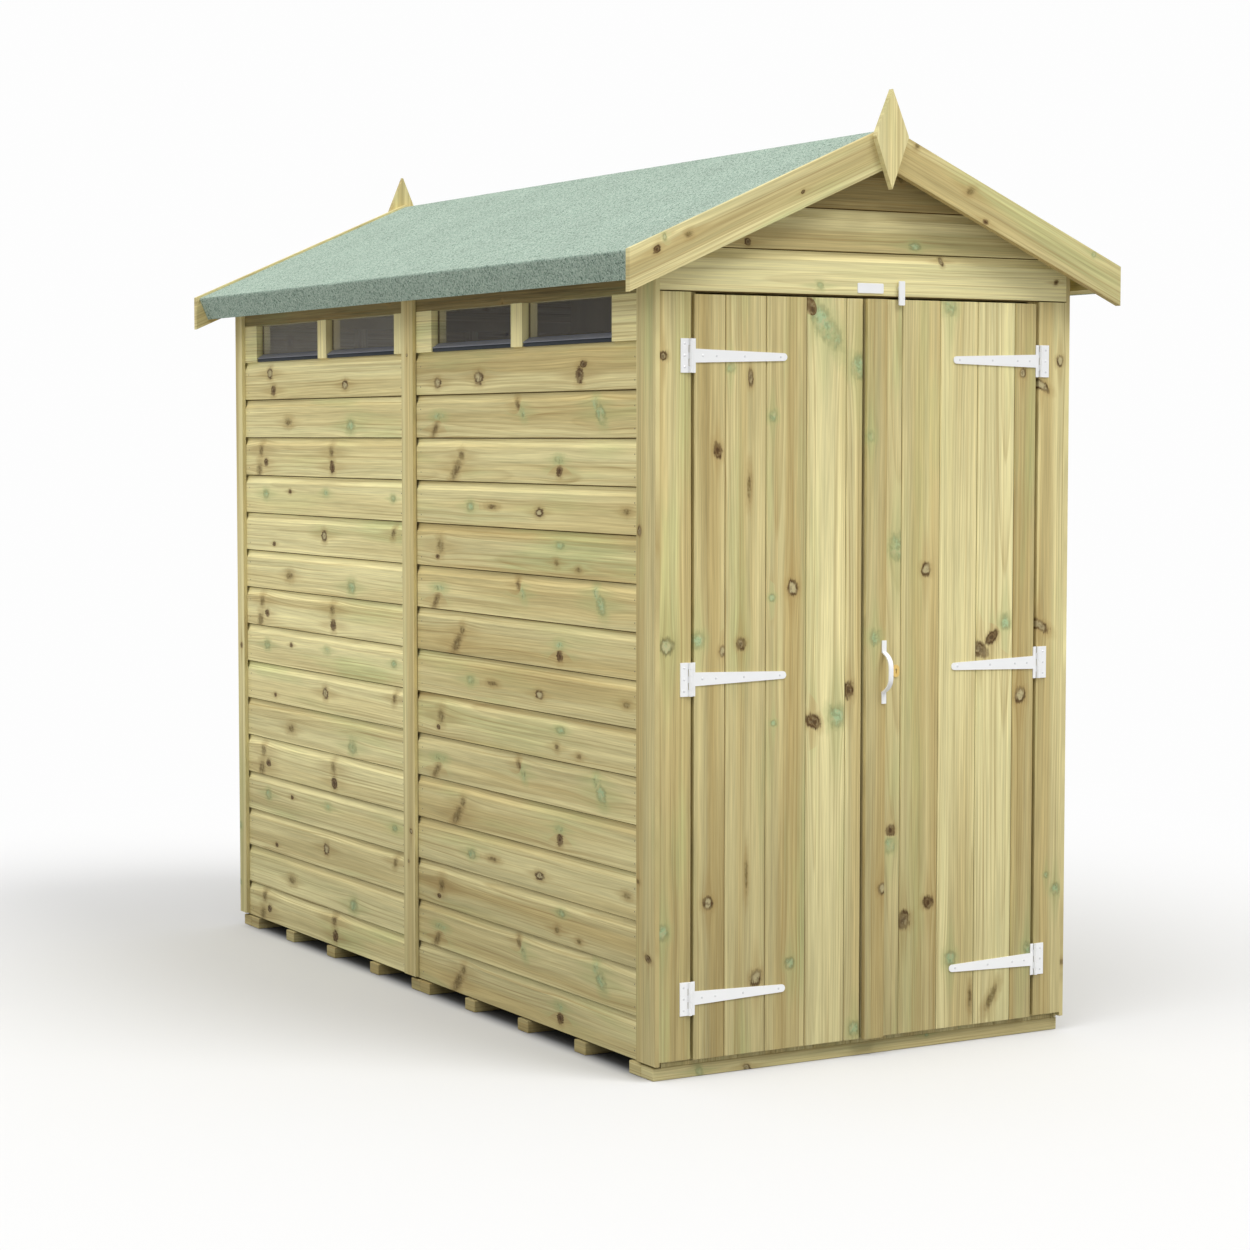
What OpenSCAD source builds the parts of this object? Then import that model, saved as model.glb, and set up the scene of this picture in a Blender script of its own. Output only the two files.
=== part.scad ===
// Apex-roofed wooden garden shed with double doors and a row of high windows.
// Millimetres, +Z up. The doors face -Y, the windows face -X.
// The origin is on the ground, under the middle of the shed.

/* [Body] */
// Width over the corner strips
body_w = 1200; // [1000:10:1500]
// Depth over the corner strips
body_d = 2526; // [2200:10:3000]
// Height of the doorway over the floor bearers
doorway_h = 1805.5; // [1600:0.5:1900]

/* [Floor] */
// Height of a floor bearer
bearer_h = 30.5; // [25:0.5:50]
// Width of a floor bearer
bearer_w = 56; // [40:1:70]
// Number of spaces between bearers, front to back
bearer_spaces = 8; // [4:2:12]
// How far the bearers run out past the face of the side boards
bearer_reach = 6; // [1:1:10]
// How far the first bearer stands back from the front of the corner strips
bearer_inset = 19; // [15:1:40]
// Thickness of the floor boards
floor_t = 12; // [10:1:20]
// Cover width of a floor board
floor_pitch = 108; // [80:1:140]

/* [Wall boards] */
// Thickness of the wall boards
clad_t = 12; // [10:1:16]
// Cover height of a shiplap board
clad_pitch = 113.5; // [90:0.5:140]
// Height of the trimmed board at the foot of the wall
clad_first = 104.5; // [60:0.5:140]
// Gap between the bearers and the foot of the wall boards
clad_gap = 0.5; // [0.3:0.1:5]
// Height of the scooped band at the top of each shiplap board
scoop_h = 22; // [8:1:30]
// Depth of the scooped band
scoop_d = 7; // [2:0.5:8]
// Height of the trimmed board over the doors
gable_first = 103; // [60:1:140]
// Cover height of the boards in the front gable
gable_pitch = 101; // [80:1:140]
// Width of the boards beside the doors
jamb_w = 84; // [60:1:150]
// Lift of the foot of the boards beside the doors over the bearers
jamb_lift = 17; // [5:0.5:45]

/* [Wall frame] */
// Side of the square framing timber
stud = 32; // [25:1:45]
// Place of the joint between the front and rear side panels, from the middle
joint_y = 53; // [-200:1:200]
// Height of the wall plate on its outer face
plate_h = 123; // [80:1:180]

/* [Strips] */
// Thickness of the corner and cover strips
strip_t = 11; // [8:1:16]
// Width of a front corner strip on the side wall
front_strip_w = 88; // [50:1:110]
// Width of a rear corner strip on the side wall
rear_strip_w = 50; // [30:1:110]
// Width of the cover strip over the panel joint
cover_w = 70; // [45:1:90]
// Lift of the foot of the strips over the bearers
strip_lift = 7; // [0.5:0.5:25]

/* [Windows] */
// Height of the window lights
window_h = 109.5; // [80:0.5:180]
// Drop of the window heads below the head of the doorway
window_drop = 0; // [0:1:30]
// Width of the post between two lights
mullion_w = 60; // [40:1:80]
// Width of the block that shows between the front corner strip and the front pair of lights
front_block_w = 134.5; // [40:0.5:180]
// Width of the block that shows between the front pair of lights and the cover strip
joint_block_w = 93; // [20:0.5:160]
// Width of the block that shows between the cover strip and the rear pair of lights
near_block_w = 69; // [20:0.5:160]
// Width of the block that shows between the rear pair of lights and the corner strip
far_block_w = 90.5; // [40:0.5:160]
// Setback of the glass behind the face of the wall boards
pane_setback = 20; // [15:1:26]
// Thickness of the glazing
pane_t = 4; // [2:0.5:6]
// Height of the metal sill under the glass
window_sill_h = 17; // [10:1:25]
// Thickness of the metal sill
window_sill_t = 2; // [1:0.5:3]

/* [Roof] */
// Slope of the roof in degrees
roof_angle = 23.6; // [22:0.1:25]
// Reach of the eaves past the corner strips
eave_reach = 98; // [80:1:130]
// Reach of the roof past the front and rear of the corner strips
gable_reach = 48; // [35:1:90]
// Thickness of the roof boards
roof_board_t = 11; // [9:1:18]
// Thickness of the mineral felt
felt_t = 4; // [2:0.5:6]
// Depth of the felted fascia, square to the slope
fascia_h = 70; // [50:1:90]
// Thickness of the timber inside the fascia
fascia_t = 20; // [15:1:35]
// Depth of the ridge purlin
ridge_purlin_h = 70; // [50:1:100]
// Depth of a side purlin
purlin_h = 45; // [30:1:60]

/* [Bargeboards] */
// Width of a bargeboard, square to the slope
barge_w = 88.5; // [70:0.5:110]
// Thickness of a bargeboard
barge_t = 18; // [12:1:25]
// Reach of a bargeboard past the felt at the eaves
barge_reach = 9; // [2:1:30]
// Rise of a bargeboard over the felt, straight up
barge_rise = 6; // [0:0.5:15]
// Height of a finial
finial_h = 235; // [180:1:260]
// Width of a finial
finial_w = 94; // [70:1:120]
// Thickness of a finial
finial_t = 16; // [10:1:22]
// Rise of a finial's point over the ridge
finial_rise = 92; // [60:1:110]

/* [Doors] */
// Gap at the hinge side of a door
door_gap = 9; // [7:0.5:12]
// Gap over the doors
door_head_gap = 5; // [5:0.5:10]
// Lift of the foot of the doors over the bearers
door_lift = 13.5; // [5:0.5:40]
// Gap between the two doors
meeting_gap = 5; // [5:0.5:8]
// Place of the meeting edge of the right door
meeting_x = -20; // [-60:1:20]
// Width of the strip along the meeting edge
meeting_w = 58; // [40:1:80]
// Thickness of the strip along the meeting edge
meeting_t = 12; // [8:1:18]
// Cover width of a door board
door_pitch = 113.3; // [90:0.1:140]
// Width of the trimmed board at the hinge edge of the left door
left_first = 85; // [40:1:120]
// Width of the trimmed board at the hinge edge of the right door
right_first = 65; // [40:1:120]
// Width of the groove between two door boards
groove_w = 4; // [2:0.5:6]
// Depth of the groove between two door boards
groove_d = 2; // [1:0.5:3]
// Width of a ledge behind a door
ledge_w = 70; // [50:1:100]
// Thickness of a ledge
ledge_t = 25; // [18:1:27]
// Setback of the ledges from the edges of a door
ledge_inset = 35; // [32:1:60]

/* [Hinges] */
// Height of a hinge plate
hinge_h = 79; // [60:1:100]
// Reach of the plate on the frame from the pin
hinge_plate_w = 26; // [20:1:35]
// Thickness of the hinge metal
hinge_t = 2.5; // [1.5:0.1:3]
// Length of the strap on the door from the pin
strap_len = 266; // [200:1:320]
// Width of the strap at its root
strap_root_w = 32; // [24:1:45]
// Width of the strap at its tip
strap_tip_w = 18; // [12:1:22]
// Radius of a hinge knuckle
knuckle_r = 4.5; // [4:0.1:5.5]
// Radius of a hinge pin
pin_r = 2; // [1.5:0.1:2.5]
// Distance of the lowest hinge from the foot of a door
hinge_low = 147; // [100:1:250]
// Distance of the highest hinge from the top of a door
hinge_high = 141.5; // [100:0.5:250]

/* [Fittings] */
// Length of the pull handle over its feet
handle_h = 153; // [120:1:200]
// Height of one foot of the handle
handle_foot_h = 29; // [20:1:35]
// Width of the handle's bar
handle_w = 12; // [8:1:16]
// Thickness of the handle's bar
handle_t = 3.5; // [2.5:0.5:5]
// Reach of the handle's bow
handle_reach = 33; // [25:1:45]
// Height of the middle of the handle over the foot of the doors
handle_up = 892; // [700:1:1100]
// Width of the lock plate
lock_w = 19; // [14:1:26]
// Height of the lock plate
lock_h = 30; // [24:1:40]
// Thickness of the lock plate
lock_t = 2.5; // [1.5:0.5:4]
// Distance of the lock plate's middle from the meeting strip
lock_set_in = 38; // [20:1:80]
// Length of the turn button
button_h = 58; // [50:1:75]
// Width of the turn button
button_w = 17; // [14:1:26]
// Thickness of the turn button
button_t = 4; // [3:0.5:6]
// Clearance of the turn button's arm from the door
button_lift = 5; // [5:0.5:8]
// Place of the turn button from the middle of the front
button_x = 82; // [60:1:200]

/* [Hidden] */
$fn = 48;

// Running and seating clearances
seat_gap = 0.3;
pin_gap = 0.15;
knuckle_gap = 0.6;
stop_gap = 6;
overrun = 1;

// Hollow along the top of a shiplap board: the power of its curve and the flats that follow it
scoop_power = 2.2;
scoop_steps = 5;

half_w = body_w / 2;
half_d = body_d / 2;
clad_x = half_w - strip_t;
frame_x = clad_x - clad_t;
frame_y = half_d - clad_t;
inner_x = frame_x - stud;
inner_y = frame_y - stud;
floor_z = bearer_h + floor_t;
clad_z = bearer_h + clad_gap;
strip_z = bearer_h + strip_lift;
jamb_z = bearer_h + jamb_lift;
head_z = bearer_h + doorway_h;
doorway_x = clad_x - jamb_w;
mid_rail_share = 0.466;
mid_rail_z = floor_z + mid_rail_share * (head_z - floor_z);

// Windows: low and high ends of the front and rear pairs of lights
window_top_z = head_z - window_drop;
sill_z = window_top_z - window_h;
front_lights = [-half_d + front_strip_w + front_block_w, joint_y - cover_w / 2 - joint_block_w];
rear_lights = [joint_y + cover_w / 2 + near_block_w, half_d - rear_strip_w - far_block_w];
function middle(span) = (span[0] + span[1]) / 2;
pane_x = clad_x - pane_setback;
sill_nose_share = 0.35;
sill_slope_share = 0.4;

// Roof section: s runs down the slope from the ridge, n stands square to it.
// The boards lie on the wall plates, which set the height of the ridge.
roof_half_w = half_w + eave_reach;
roof_half_d = half_d + gable_reach;
slope_len = roof_half_w / cos(roof_angle);
cover_t = felt_t + seat_gap + roof_board_t;
plate_top_z = window_top_z + plate_h;
ridge_z = plate_top_z + seat_gap + frame_x * tan(roof_angle) + cover_t / cos(roof_angle);
function slope_point(s, n) = [
    s * cos(roof_angle) + n * sin(roof_angle),
    ridge_z - s * sin(roof_angle) + n * cos(roof_angle)
];
function felt_z(x) = ridge_z - abs(x) * tan(roof_angle);
function under_roof_z(x) = felt_z(x) - cover_t / cos(roof_angle);

// Bearers: the two ends and the middle are doubled.
bearer_half_l = clad_x + bearer_reach;
bearer_front_y = half_d - bearer_inset;
bearer_step = (2 * bearer_front_y - 2 * bearer_w) / bearer_spaces;

// Doors
door_z = bearer_h + door_lift;
door_top_z = head_z - door_head_gap;
door_h = door_top_z - door_z;
door_x = doorway_x - door_gap;
left_meeting_x = meeting_x - meeting_gap;
ledge_shares = [0.1, 0.5, 0.9];
brace_w = ledge_w;
face_y = -half_d;
door_back_y = face_y + clad_t;

// Hinges: the pin stands in front of the edge of the doorway.
pin_set_out = 3;
pin_x = doorway_x + pin_set_out;
pin_y = face_y - knuckle_r - seat_gap;
knuckles = 5;
flange_w = 14;
low_hinge_z = door_z + hinge_low;
high_hinge_z = door_top_z - hinge_high;
hinge_zs = [low_hinge_z, (low_hinge_z + high_hinge_z) / 2, high_hinge_z];

// Fittings
handle_x = meeting_x + meeting_w - handle_w / 2;
handle_z = door_z + handle_up;
bow_power = 3.5;
bow_steps = 28;
lock_x = meeting_x + meeting_w + lock_set_in;
button_pivot_share = 0.3;
button_over_share = 0.68;
button_top_z = head_z + button_over_share * button_h;
button_pivot_z = button_top_z - button_pivot_share * button_h;
button_corner_share = 0.15;
button_boss_share = 0.42;
keyhole_share = 0.16;
key_slot_share = 3;

pine = [0.80, 0.76, 0.53];
pine_shade = [0.72, 0.68, 0.46];
felt_green = [0.55, 0.66, 0.60];
metal_white = [0.93, 0.93, 0.93];
metal_grey = [0.52, 0.55, 0.62];
glass_grey = [0.30, 0.31, 0.33, 0.6];
brass = [0.80, 0.62, 0.25];

// Helpers

// A box between two corners
module box(low, high) {
    translate(low) cube(high - low);
}

// A section drawn in X and Z, run from y0 to y1
module along_y(y0, y1) {
    translate([0, y1, 0]) rotate([90, 0, 0]) linear_extrude(y1 - y0) children();
}

// A section drawn in Y and Z, run from x0 to x1
module along_x(x0, x1) {
    translate([x0, 0, 0]) rotate([90, 0, 90]) linear_extrude(x1 - x0) children();
}

// The children on the left (-1) or right (1) side
module on_side(side) {
    mirror([side < 0 ? 1 : 0, 0, 0]) children();
}

// The children at the front (-1) or rear (1)
module at_end(end) {
    mirror([0, end < 0 ? 1 : 0, 0]) children();
}

// Heights of the joints in a wall of shiplap boards
function board_lines(z0, z1, first, pitch) =
    concat([z0], [for (z = z0 + first; z < z1 - scoop_h; z = z + pitch) z], [z1]);

// Shiplap section: flat back at zero, each board with a hollow along its top edge
module shiplap_section(z0, z1, first, pitch) {
    lines = board_lines(z0, z1, first, pitch);
    boards = len(lines) - 1;
    polygon(concat(
        [[0, z0]],
        [for (i = [0:boards - 1]) each [
            [clad_t, lines[i]],
            for (k = [scoop_steps:-1:0]) let (share = k / scoop_steps)
                [clad_t - scoop_d * (1 - pow(share, scoop_power)), lines[i + 1] - share * scoop_h]
        ]],
        [[0, z1]]
    ));
}

// Outline of a gable under the roof, from z0 up
module gable_outline(z0) {
    polygon([
        [-clad_x, z0], [clad_x, z0],
        [clad_x, under_roof_z(clad_x) - seat_gap],
        [0, under_roof_z(0) - seat_gap],
        [-clad_x, under_roof_z(clad_x) - seat_gap]
    ]);
}

// Section of a timber in X and Z that fits under the roof slope
module under_slope_section(x0, x1, z0) {
    polygon([
        [x0, z0], [x1, z0],
        [x1, under_roof_z(x1) - seat_gap],
        [x0, under_roof_z(x0) - seat_gap]
    ]);
}

// Floor

module floor_bearers() {
    color(pine_shade) {
        for (i = [0:bearer_spaces]) {
            y = -bearer_front_y + bearer_w + i * bearer_step;
            doubled = i == 0 || i == bearer_spaces || i == bearer_spaces / 2;
            w = doubled ? 2 * bearer_w : bearer_w;
            box([-bearer_half_l, y - w / 2, 0], [bearer_half_l, y + w / 2, bearer_h]);
        }
    }
}

module floor_boards() {
    gaps = floor(2 * (frame_x - seat_gap) / floor_pitch);
    color(pine) {
        for (end = [-1, 1]) at_end(end) difference() {
            box([-frame_x + seat_gap, seat_gap, bearer_h], [frame_x - seat_gap, bearer_front_y, floor_z]);
            for (i = [1:gaps]) {
                x = -frame_x + i * floor_pitch;
                box([x - groove_w / 2, -overrun, floor_z - groove_d],
                    [x + groove_w / 2, half_d, floor_z + overrun]);
            }
        }
    }
}

// Wall frame

// One upright of a side wall, with its front face at y
module side_stud(y, z1) {
    box([inner_x, y, floor_z], [frame_x, y + stud, z1]);
}

// Places of the uprights along a side wall
corner_stud_y = inner_y - stud;
side_stud_ys = [
    -inner_y, middle(front_lights) - stud / 2, joint_y - stud - seat_gap,
    joint_y + seat_gap, middle(rear_lights) - stud / 2, corner_stud_y
];
rear_stud_x = frame_x / 3;

module wall_studs() {
    color(pine) {
        for (side = [-1, 1]) on_side(side) {
            for (i = [0:len(side_stud_ys) - 1]) {
                under_lights = side < 0 && (i == 1 || i == 4);
                side_stud(side_stud_ys[i], under_lights ? sill_z - stud : window_top_z);
            }
            box([frame_x - stud, inner_y, floor_z], [frame_x, frame_y, window_top_z]);
            box([rear_stud_x - stud / 2, inner_y, floor_z], [rear_stud_x + stud / 2, frame_y, window_top_z]);
        }
        for (end = [-1, 1]) at_end(end)
            box([-stud / 2, inner_y, head_z + stud],
                [stud / 2, frame_y, under_roof_z(stud / 2) - ridge_purlin_h - 2 * seat_gap]);
    }
}

// Rails between neighbouring uprights of a side wall
module side_rails(z) {
    ys = side_stud_ys;
    for (i = [0, 1, 3, 4])
        box([inner_x, ys[i] + stud, z], [frame_x, ys[i + 1], z + stud]);
}

// Rails between the uprights of the rear wall
module rear_rails(z) {
    xs = [-frame_x + stud / 2, -rear_stud_x, rear_stud_x, frame_x - stud / 2];
    for (i = [0:2])
        box([xs[i] + stud / 2, inner_y, z], [xs[i + 1] - stud / 2, frame_y, z + stud]);
}

module wall_rails() {
    color(pine) {
        for (side = [-1, 1]) on_side(side) {
            for (z = [floor_z, mid_rail_z]) side_rails(z);
            along_y(-inner_y + seat_gap, inner_y - seat_gap)
                under_slope_section(inner_x, frame_x, window_top_z);
        }
        // Rails under the window lights
        on_side(-1) for (span = [[0, 2], [3, 5]])
            box([inner_x, side_stud_ys[span[0]] + stud, sill_z - stud],
                [frame_x, side_stud_ys[span[1]], sill_z]);
        for (z = [floor_z, mid_rail_z]) rear_rails(z);
        // Tie beams over the doorway and over the rear uprights
        box([-frame_x, -frame_y, head_z], [frame_x, -inner_y, head_z + stud]);
        box([-frame_x, inner_y, window_top_z], [frame_x, frame_y, head_z + stud]);
    }
}

// Posts beside the doorway, with a stop behind the hinge edge of each door
module door_posts() {
    color(pine) {
        for (side = [-1, 1]) on_side(side)
            translate([0, 0, floor_z]) linear_extrude(head_z - floor_z)
                polygon([
                    [frame_x, -frame_y], [doorway_x, -frame_y],
                    [doorway_x, -frame_y + stop_gap], [doorway_x - stud + door_gap, -frame_y + stop_gap],
                    [doorway_x - stud + door_gap, -inner_y], [frame_x, -inner_y]
                ]);
    }
}

// Wall boards

// Shiplap panel of a side wall, drawn on the right
module side_cladding(y0, y1, z1) {
    color(pine) along_y(y0, y1) translate([frame_x, 0])
        shiplap_section(clad_z, z1, clad_first, clad_pitch);
}

side_top_z = under_roof_z(clad_x) - seat_gap;

module left_front_cladding() {
    on_side(-1) side_cladding(-frame_y, joint_y - seat_gap, sill_z);
}

module left_rear_cladding() {
    on_side(-1) side_cladding(joint_y + seat_gap, frame_y, sill_z);
}

module right_front_cladding() {
    side_cladding(-frame_y, joint_y - seat_gap, side_top_z);
}

module right_rear_cladding() {
    side_cladding(joint_y + seat_gap, frame_y, side_top_z);
}

module rear_cladding() {
    color(pine) intersection() {
        along_x(-clad_x, clad_x) translate([frame_y, 0])
            shiplap_section(clad_z, ridge_z, clad_first, clad_pitch);
        along_y(frame_y - overrun, half_d + overrun) gable_outline(clad_z);
    }
}

module front_gable() {
    color(pine) intersection() {
        at_end(-1) along_x(-clad_x, clad_x) translate([frame_y, 0])
            shiplap_section(head_z, ridge_z, gable_first, gable_pitch);
        along_y(-half_d - overrun, -frame_y + overrun) gable_outline(head_z);
    }
}

// Upright board beside the doorway
module jamb() {
    color(pine) box([doorway_x, face_y, jamb_z], [clad_x, -frame_y, head_z - seat_gap]);
}

module left_jamb() {
    on_side(-1) jamb();
}

module right_jamb() {
    jamb();
}

// Strips

module corner_strips(end, width) {
    color(pine) for (side = [-1, 1]) on_side(side) at_end(end)
        box([clad_x, half_d - width, strip_z], [half_w, half_d, under_roof_z(half_w) - seat_gap]);
}

module front_corner_strips() {
    corner_strips(-1, front_strip_w);
}

module rear_corner_strips() {
    corner_strips(1, rear_strip_w);
}

module cover_strip() {
    color(pine) box([clad_x, joint_y - cover_w / 2, strip_z],
        [half_w, joint_y + cover_w / 2, under_roof_z(half_w) - seat_gap]);
}

module left_cover_strip() {
    on_side(-1) cover_strip();
}

module right_cover_strip() {
    cover_strip();
}

// Windows, drawn on the right and carried to the left wall

window_z0 = sill_z + seat_gap;
window_z1 = window_top_z - seat_gap;

// Board end with a post behind it, both ending at the edge of a light
module end_block(y_board, y_post, y_light) {
    box([frame_x, min(y_board, y_light), window_z0], [clad_x, max(y_board, y_light), window_z1]);
    box([inner_x, min(y_post, y_light), window_z0], [frame_x, max(y_post, y_light), window_z1]);
}

module window_posts() {
    color(pine) on_side(-1) {
        for (lights = [front_lights, rear_lights]) {
            y = middle(lights);
            box([inner_x, y - mullion_w / 2, window_z0], [clad_x, y + mullion_w / 2, window_z1]);
        }
        end_block(-frame_y, -inner_y + stud, front_lights[0]);
        end_block(joint_y - seat_gap, joint_y - stud - seat_gap, front_lights[1]);
        end_block(joint_y + seat_gap, joint_y + stud + seat_gap, rear_lights[0]);
        end_block(frame_y, corner_stud_y, rear_lights[1]);
    }
}

// Low and high ends of each light of a pair
function single_lights(pair) = [
    [pair[0] + seat_gap, middle(pair) - mullion_w / 2 - seat_gap],
    [middle(pair) + mullion_w / 2 + seat_gap, pair[1] - seat_gap]
];

// Folded metal sill: a nose at the face of the wall and a slope up to the glass
module window_sills() {
    glass_x = pane_x - seat_gap;
    nose = sill_nose_share * window_sill_h;
    rise = sill_slope_share * window_sill_h;
    color(metal_grey) on_side(-1)
        for (pair = [front_lights, rear_lights], span = single_lights(pair))
            along_y(span[0], span[1]) polygon([
                [glass_x, window_z0], [clad_x, window_z0], [clad_x, window_z0 + nose],
                [glass_x + window_sill_t, window_z0 + nose + rise],
                [glass_x + window_sill_t, window_z0 + window_sill_h],
                [glass_x, window_z0 + window_sill_h]
            ]);
}

module window_panes(pair) {
    color(glass_grey) on_side(-1)
        for (span = single_lights(pair))
            box([pane_x - pane_t - 2 * seat_gap, span[0], window_z0], [pane_x - 2 * seat_gap, span[1], window_z1]);
}

module front_window_panes() {
    window_panes(front_lights);
}

module rear_window_panes() {
    window_panes(rear_lights);
}

module left_eave_board() {
    color(pine_shade) on_side(-1)
        along_y(-frame_y, frame_y) under_slope_section(frame_x, clad_x, window_top_z);
}

// Roof

// Section of one slope between two depths below the felt's face, mitred at the ridge
module slope_section(n_top, n_low, s_end) {
    polygon([
        [0, ridge_z - n_top / cos(roof_angle)],
        slope_point(s_end, -n_top),
        slope_point(s_end, -n_low),
        [0, ridge_z - n_low / cos(roof_angle)]
    ]);
}

module roof_boards() {
    color(pine) along_y(-roof_half_d, roof_half_d)
        slope_section(felt_t + seat_gap, cover_t, slope_len - felt_t - seat_gap);
}

module left_roof_boards() {
    on_side(-1) roof_boards();
}

module right_roof_boards() {
    roof_boards();
}

// Felt over both slopes, turned down over the eaves
module roof_felt() {
    right = [
        slope_point(slope_len, 0), slope_point(slope_len, -fascia_h),
        slope_point(slope_len - felt_t, -fascia_h), slope_point(slope_len - felt_t, -felt_t)
    ];
    left = [for (i = [3:-1:0]) [-right[i][0], right[i][1]]];
    color(felt_green) along_y(-roof_half_d, roof_half_d)
        polygon(concat([[0, ridge_z]], right, [[0, ridge_z - felt_t / cos(roof_angle)]], left));
}

module eave_fascias() {
    s_out = slope_len - felt_t - seat_gap;
    s_in = s_out - fascia_t;
    n_top = -cover_t - seat_gap;
    color(pine_shade) for (side = [-1, 1]) on_side(side)
        along_y(-roof_half_d, roof_half_d) polygon([
            slope_point(s_out, n_top), slope_point(s_out, -fascia_h),
            slope_point(s_in, -fascia_h), slope_point(s_in, n_top)
        ]);
}

module roof_purlins() {
    s_mid = slope_len / 2;
    n_top = -cover_t - seat_gap;
    n_low = n_top - purlin_h;
    color(pine) {
        along_y(-frame_y, frame_y)
            translate([-stud / 2, under_roof_z(stud / 2) - seat_gap - ridge_purlin_h])
                square([stud, ridge_purlin_h]);
        for (side = [-1, 1]) on_side(side) along_y(-frame_y, frame_y) polygon([
            slope_point(s_mid - stud / 2, n_top), slope_point(s_mid + stud / 2, n_top),
            slope_point(s_mid + stud / 2, n_low), slope_point(s_mid - stud / 2, n_low)
        ]);
    }
}

// Bargeboards and finials

barge_end_x = roof_half_w + barge_reach;
barge_drop = barge_w / cos(roof_angle);
function barge_top_z(x) = felt_z(x) + barge_rise;

// One board, plumb-cut at the ridge and at the eaves
module bargeboard() {
    along_y(roof_half_d, roof_half_d + barge_t) polygon([
        [seat_gap, barge_top_z(seat_gap)], [barge_end_x, barge_top_z(barge_end_x)],
        [barge_end_x, barge_top_z(barge_end_x) - barge_drop],
        [seat_gap, barge_top_z(seat_gap) - barge_drop]
    ]);
}

module bargeboards(end) {
    color(pine) for (side = [-1, 1]) on_side(side) at_end(end) bargeboard();
}

module front_bargeboards() {
    bargeboards(-1);
}

module rear_bargeboards() {
    bargeboards(1);
}

// Lozenge over the joint of two bargeboards
module finial(end) {
    waist_share = 0.47;
    top_z = ridge_z + finial_rise;
    y0 = roof_half_d + barge_t;
    color(pine) at_end(end) along_y(y0, y0 + finial_t) polygon([
        [0, top_z], [finial_w / 2, top_z - waist_share * finial_h],
        [0, top_z - finial_h], [-finial_w / 2, top_z - waist_share * finial_h]
    ]);
}

module front_finial() {
    finial(-1);
}

module rear_finial() {
    finial(1);
}

// Hinges, drawn for the right door with the pin at the origin and the door towards -X

knuckle_h = hinge_h / knuckles;
wood_y = knuckle_r + seat_gap;

// One knuckle of the barrel, counted from the foot
module knuckle(i) {
    translate([0, 0, -hinge_h / 2 + i * knuckle_h + knuckle_gap / 2])
        cylinder(r = knuckle_r, h = knuckle_h - knuckle_gap);
}

// Tab from a leaf of the hinge to one knuckle
module knuckle_tab(i, x) {
    z0 = -hinge_h / 2 + i * knuckle_h + knuckle_gap / 2;
    box([min(0, x), wood_y - hinge_t, z0], [max(0, x), wood_y, z0 + knuckle_h - knuckle_gap]);
}

// Leaf on the frame, with the pin
module hinge_plate() {
    edge = knuckle_r + knuckle_gap;
    box([edge, wood_y - hinge_t, -hinge_h / 2], [hinge_plate_w, wood_y, hinge_h / 2]);
    for (i = [0:2:knuckles - 1]) {
        knuckle(i);
        knuckle_tab(i, edge + overrun);
    }
    translate([0, 0, -hinge_h / 2]) cylinder(r = pin_r, h = hinge_h);
}

// Leaf on the door: a flange and a tapered strap with a round tip
module hinge_strap() {
    edge = knuckle_r + knuckle_gap;
    tip_x = strap_len - strap_tip_w / 2;
    difference() {
        union() {
            box([-flange_w, wood_y - hinge_t, -hinge_h / 2], [-edge, wood_y, hinge_h / 2]);
            translate([0, wood_y, 0]) rotate([90, 0, 0]) linear_extrude(hinge_t) {
                polygon([
                    [-flange_w + overrun, strap_root_w / 2], [-tip_x, strap_tip_w / 2],
                    [-tip_x, -strap_tip_w / 2], [-flange_w + overrun, -strap_root_w / 2]
                ]);
                translate([-tip_x, 0]) circle(r = strap_tip_w / 2);
            }
            for (i = [1:2:knuckles - 1]) {
                knuckle(i);
                knuckle_tab(i, -edge - overrun);
            }
        }
        translate([0, 0, -hinge_h / 2 - overrun]) cylinder(r = pin_r + pin_gap, h = hinge_h + 2 * overrun);
    }
}

module each_hinge(side) {
    color(metal_white) on_side(side) for (z = hinge_zs) translate([pin_x, pin_y, z]) children();
}

module left_hinge_plates() {
    each_hinge(-1) hinge_plate();
}

module right_hinge_plates() {
    each_hinge(1) hinge_plate();
}

module left_hinge_straps() {
    each_hinge(-1) hinge_strap();
}

module right_hinge_straps() {
    each_hinge(1) hinge_strap();
}

// Doors

// Board face from x0 to x1 with grooves at the joints; first is the board at the hinge edge x0
module door_boards(x0, x1, first) {
    dir = x1 > x0 ? 1 : -1;
    span = abs(x1 - x0);
    difference() {
        box([min(x0, x1), face_y, door_z], [max(x0, x1), door_back_y, door_top_z]);
        for (d = [first:door_pitch:span - groove_w])
            translate([x0 + dir * d, face_y, door_z - overrun]) linear_extrude(door_h + 2 * overrun)
                polygon([
                    [-groove_w / 2 - overrun, -overrun * 2 * groove_d / groove_w],
                    [groove_w / 2 + overrun, -overrun * 2 * groove_d / groove_w], [0, groove_d]
                ]);
    }
}

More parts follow.
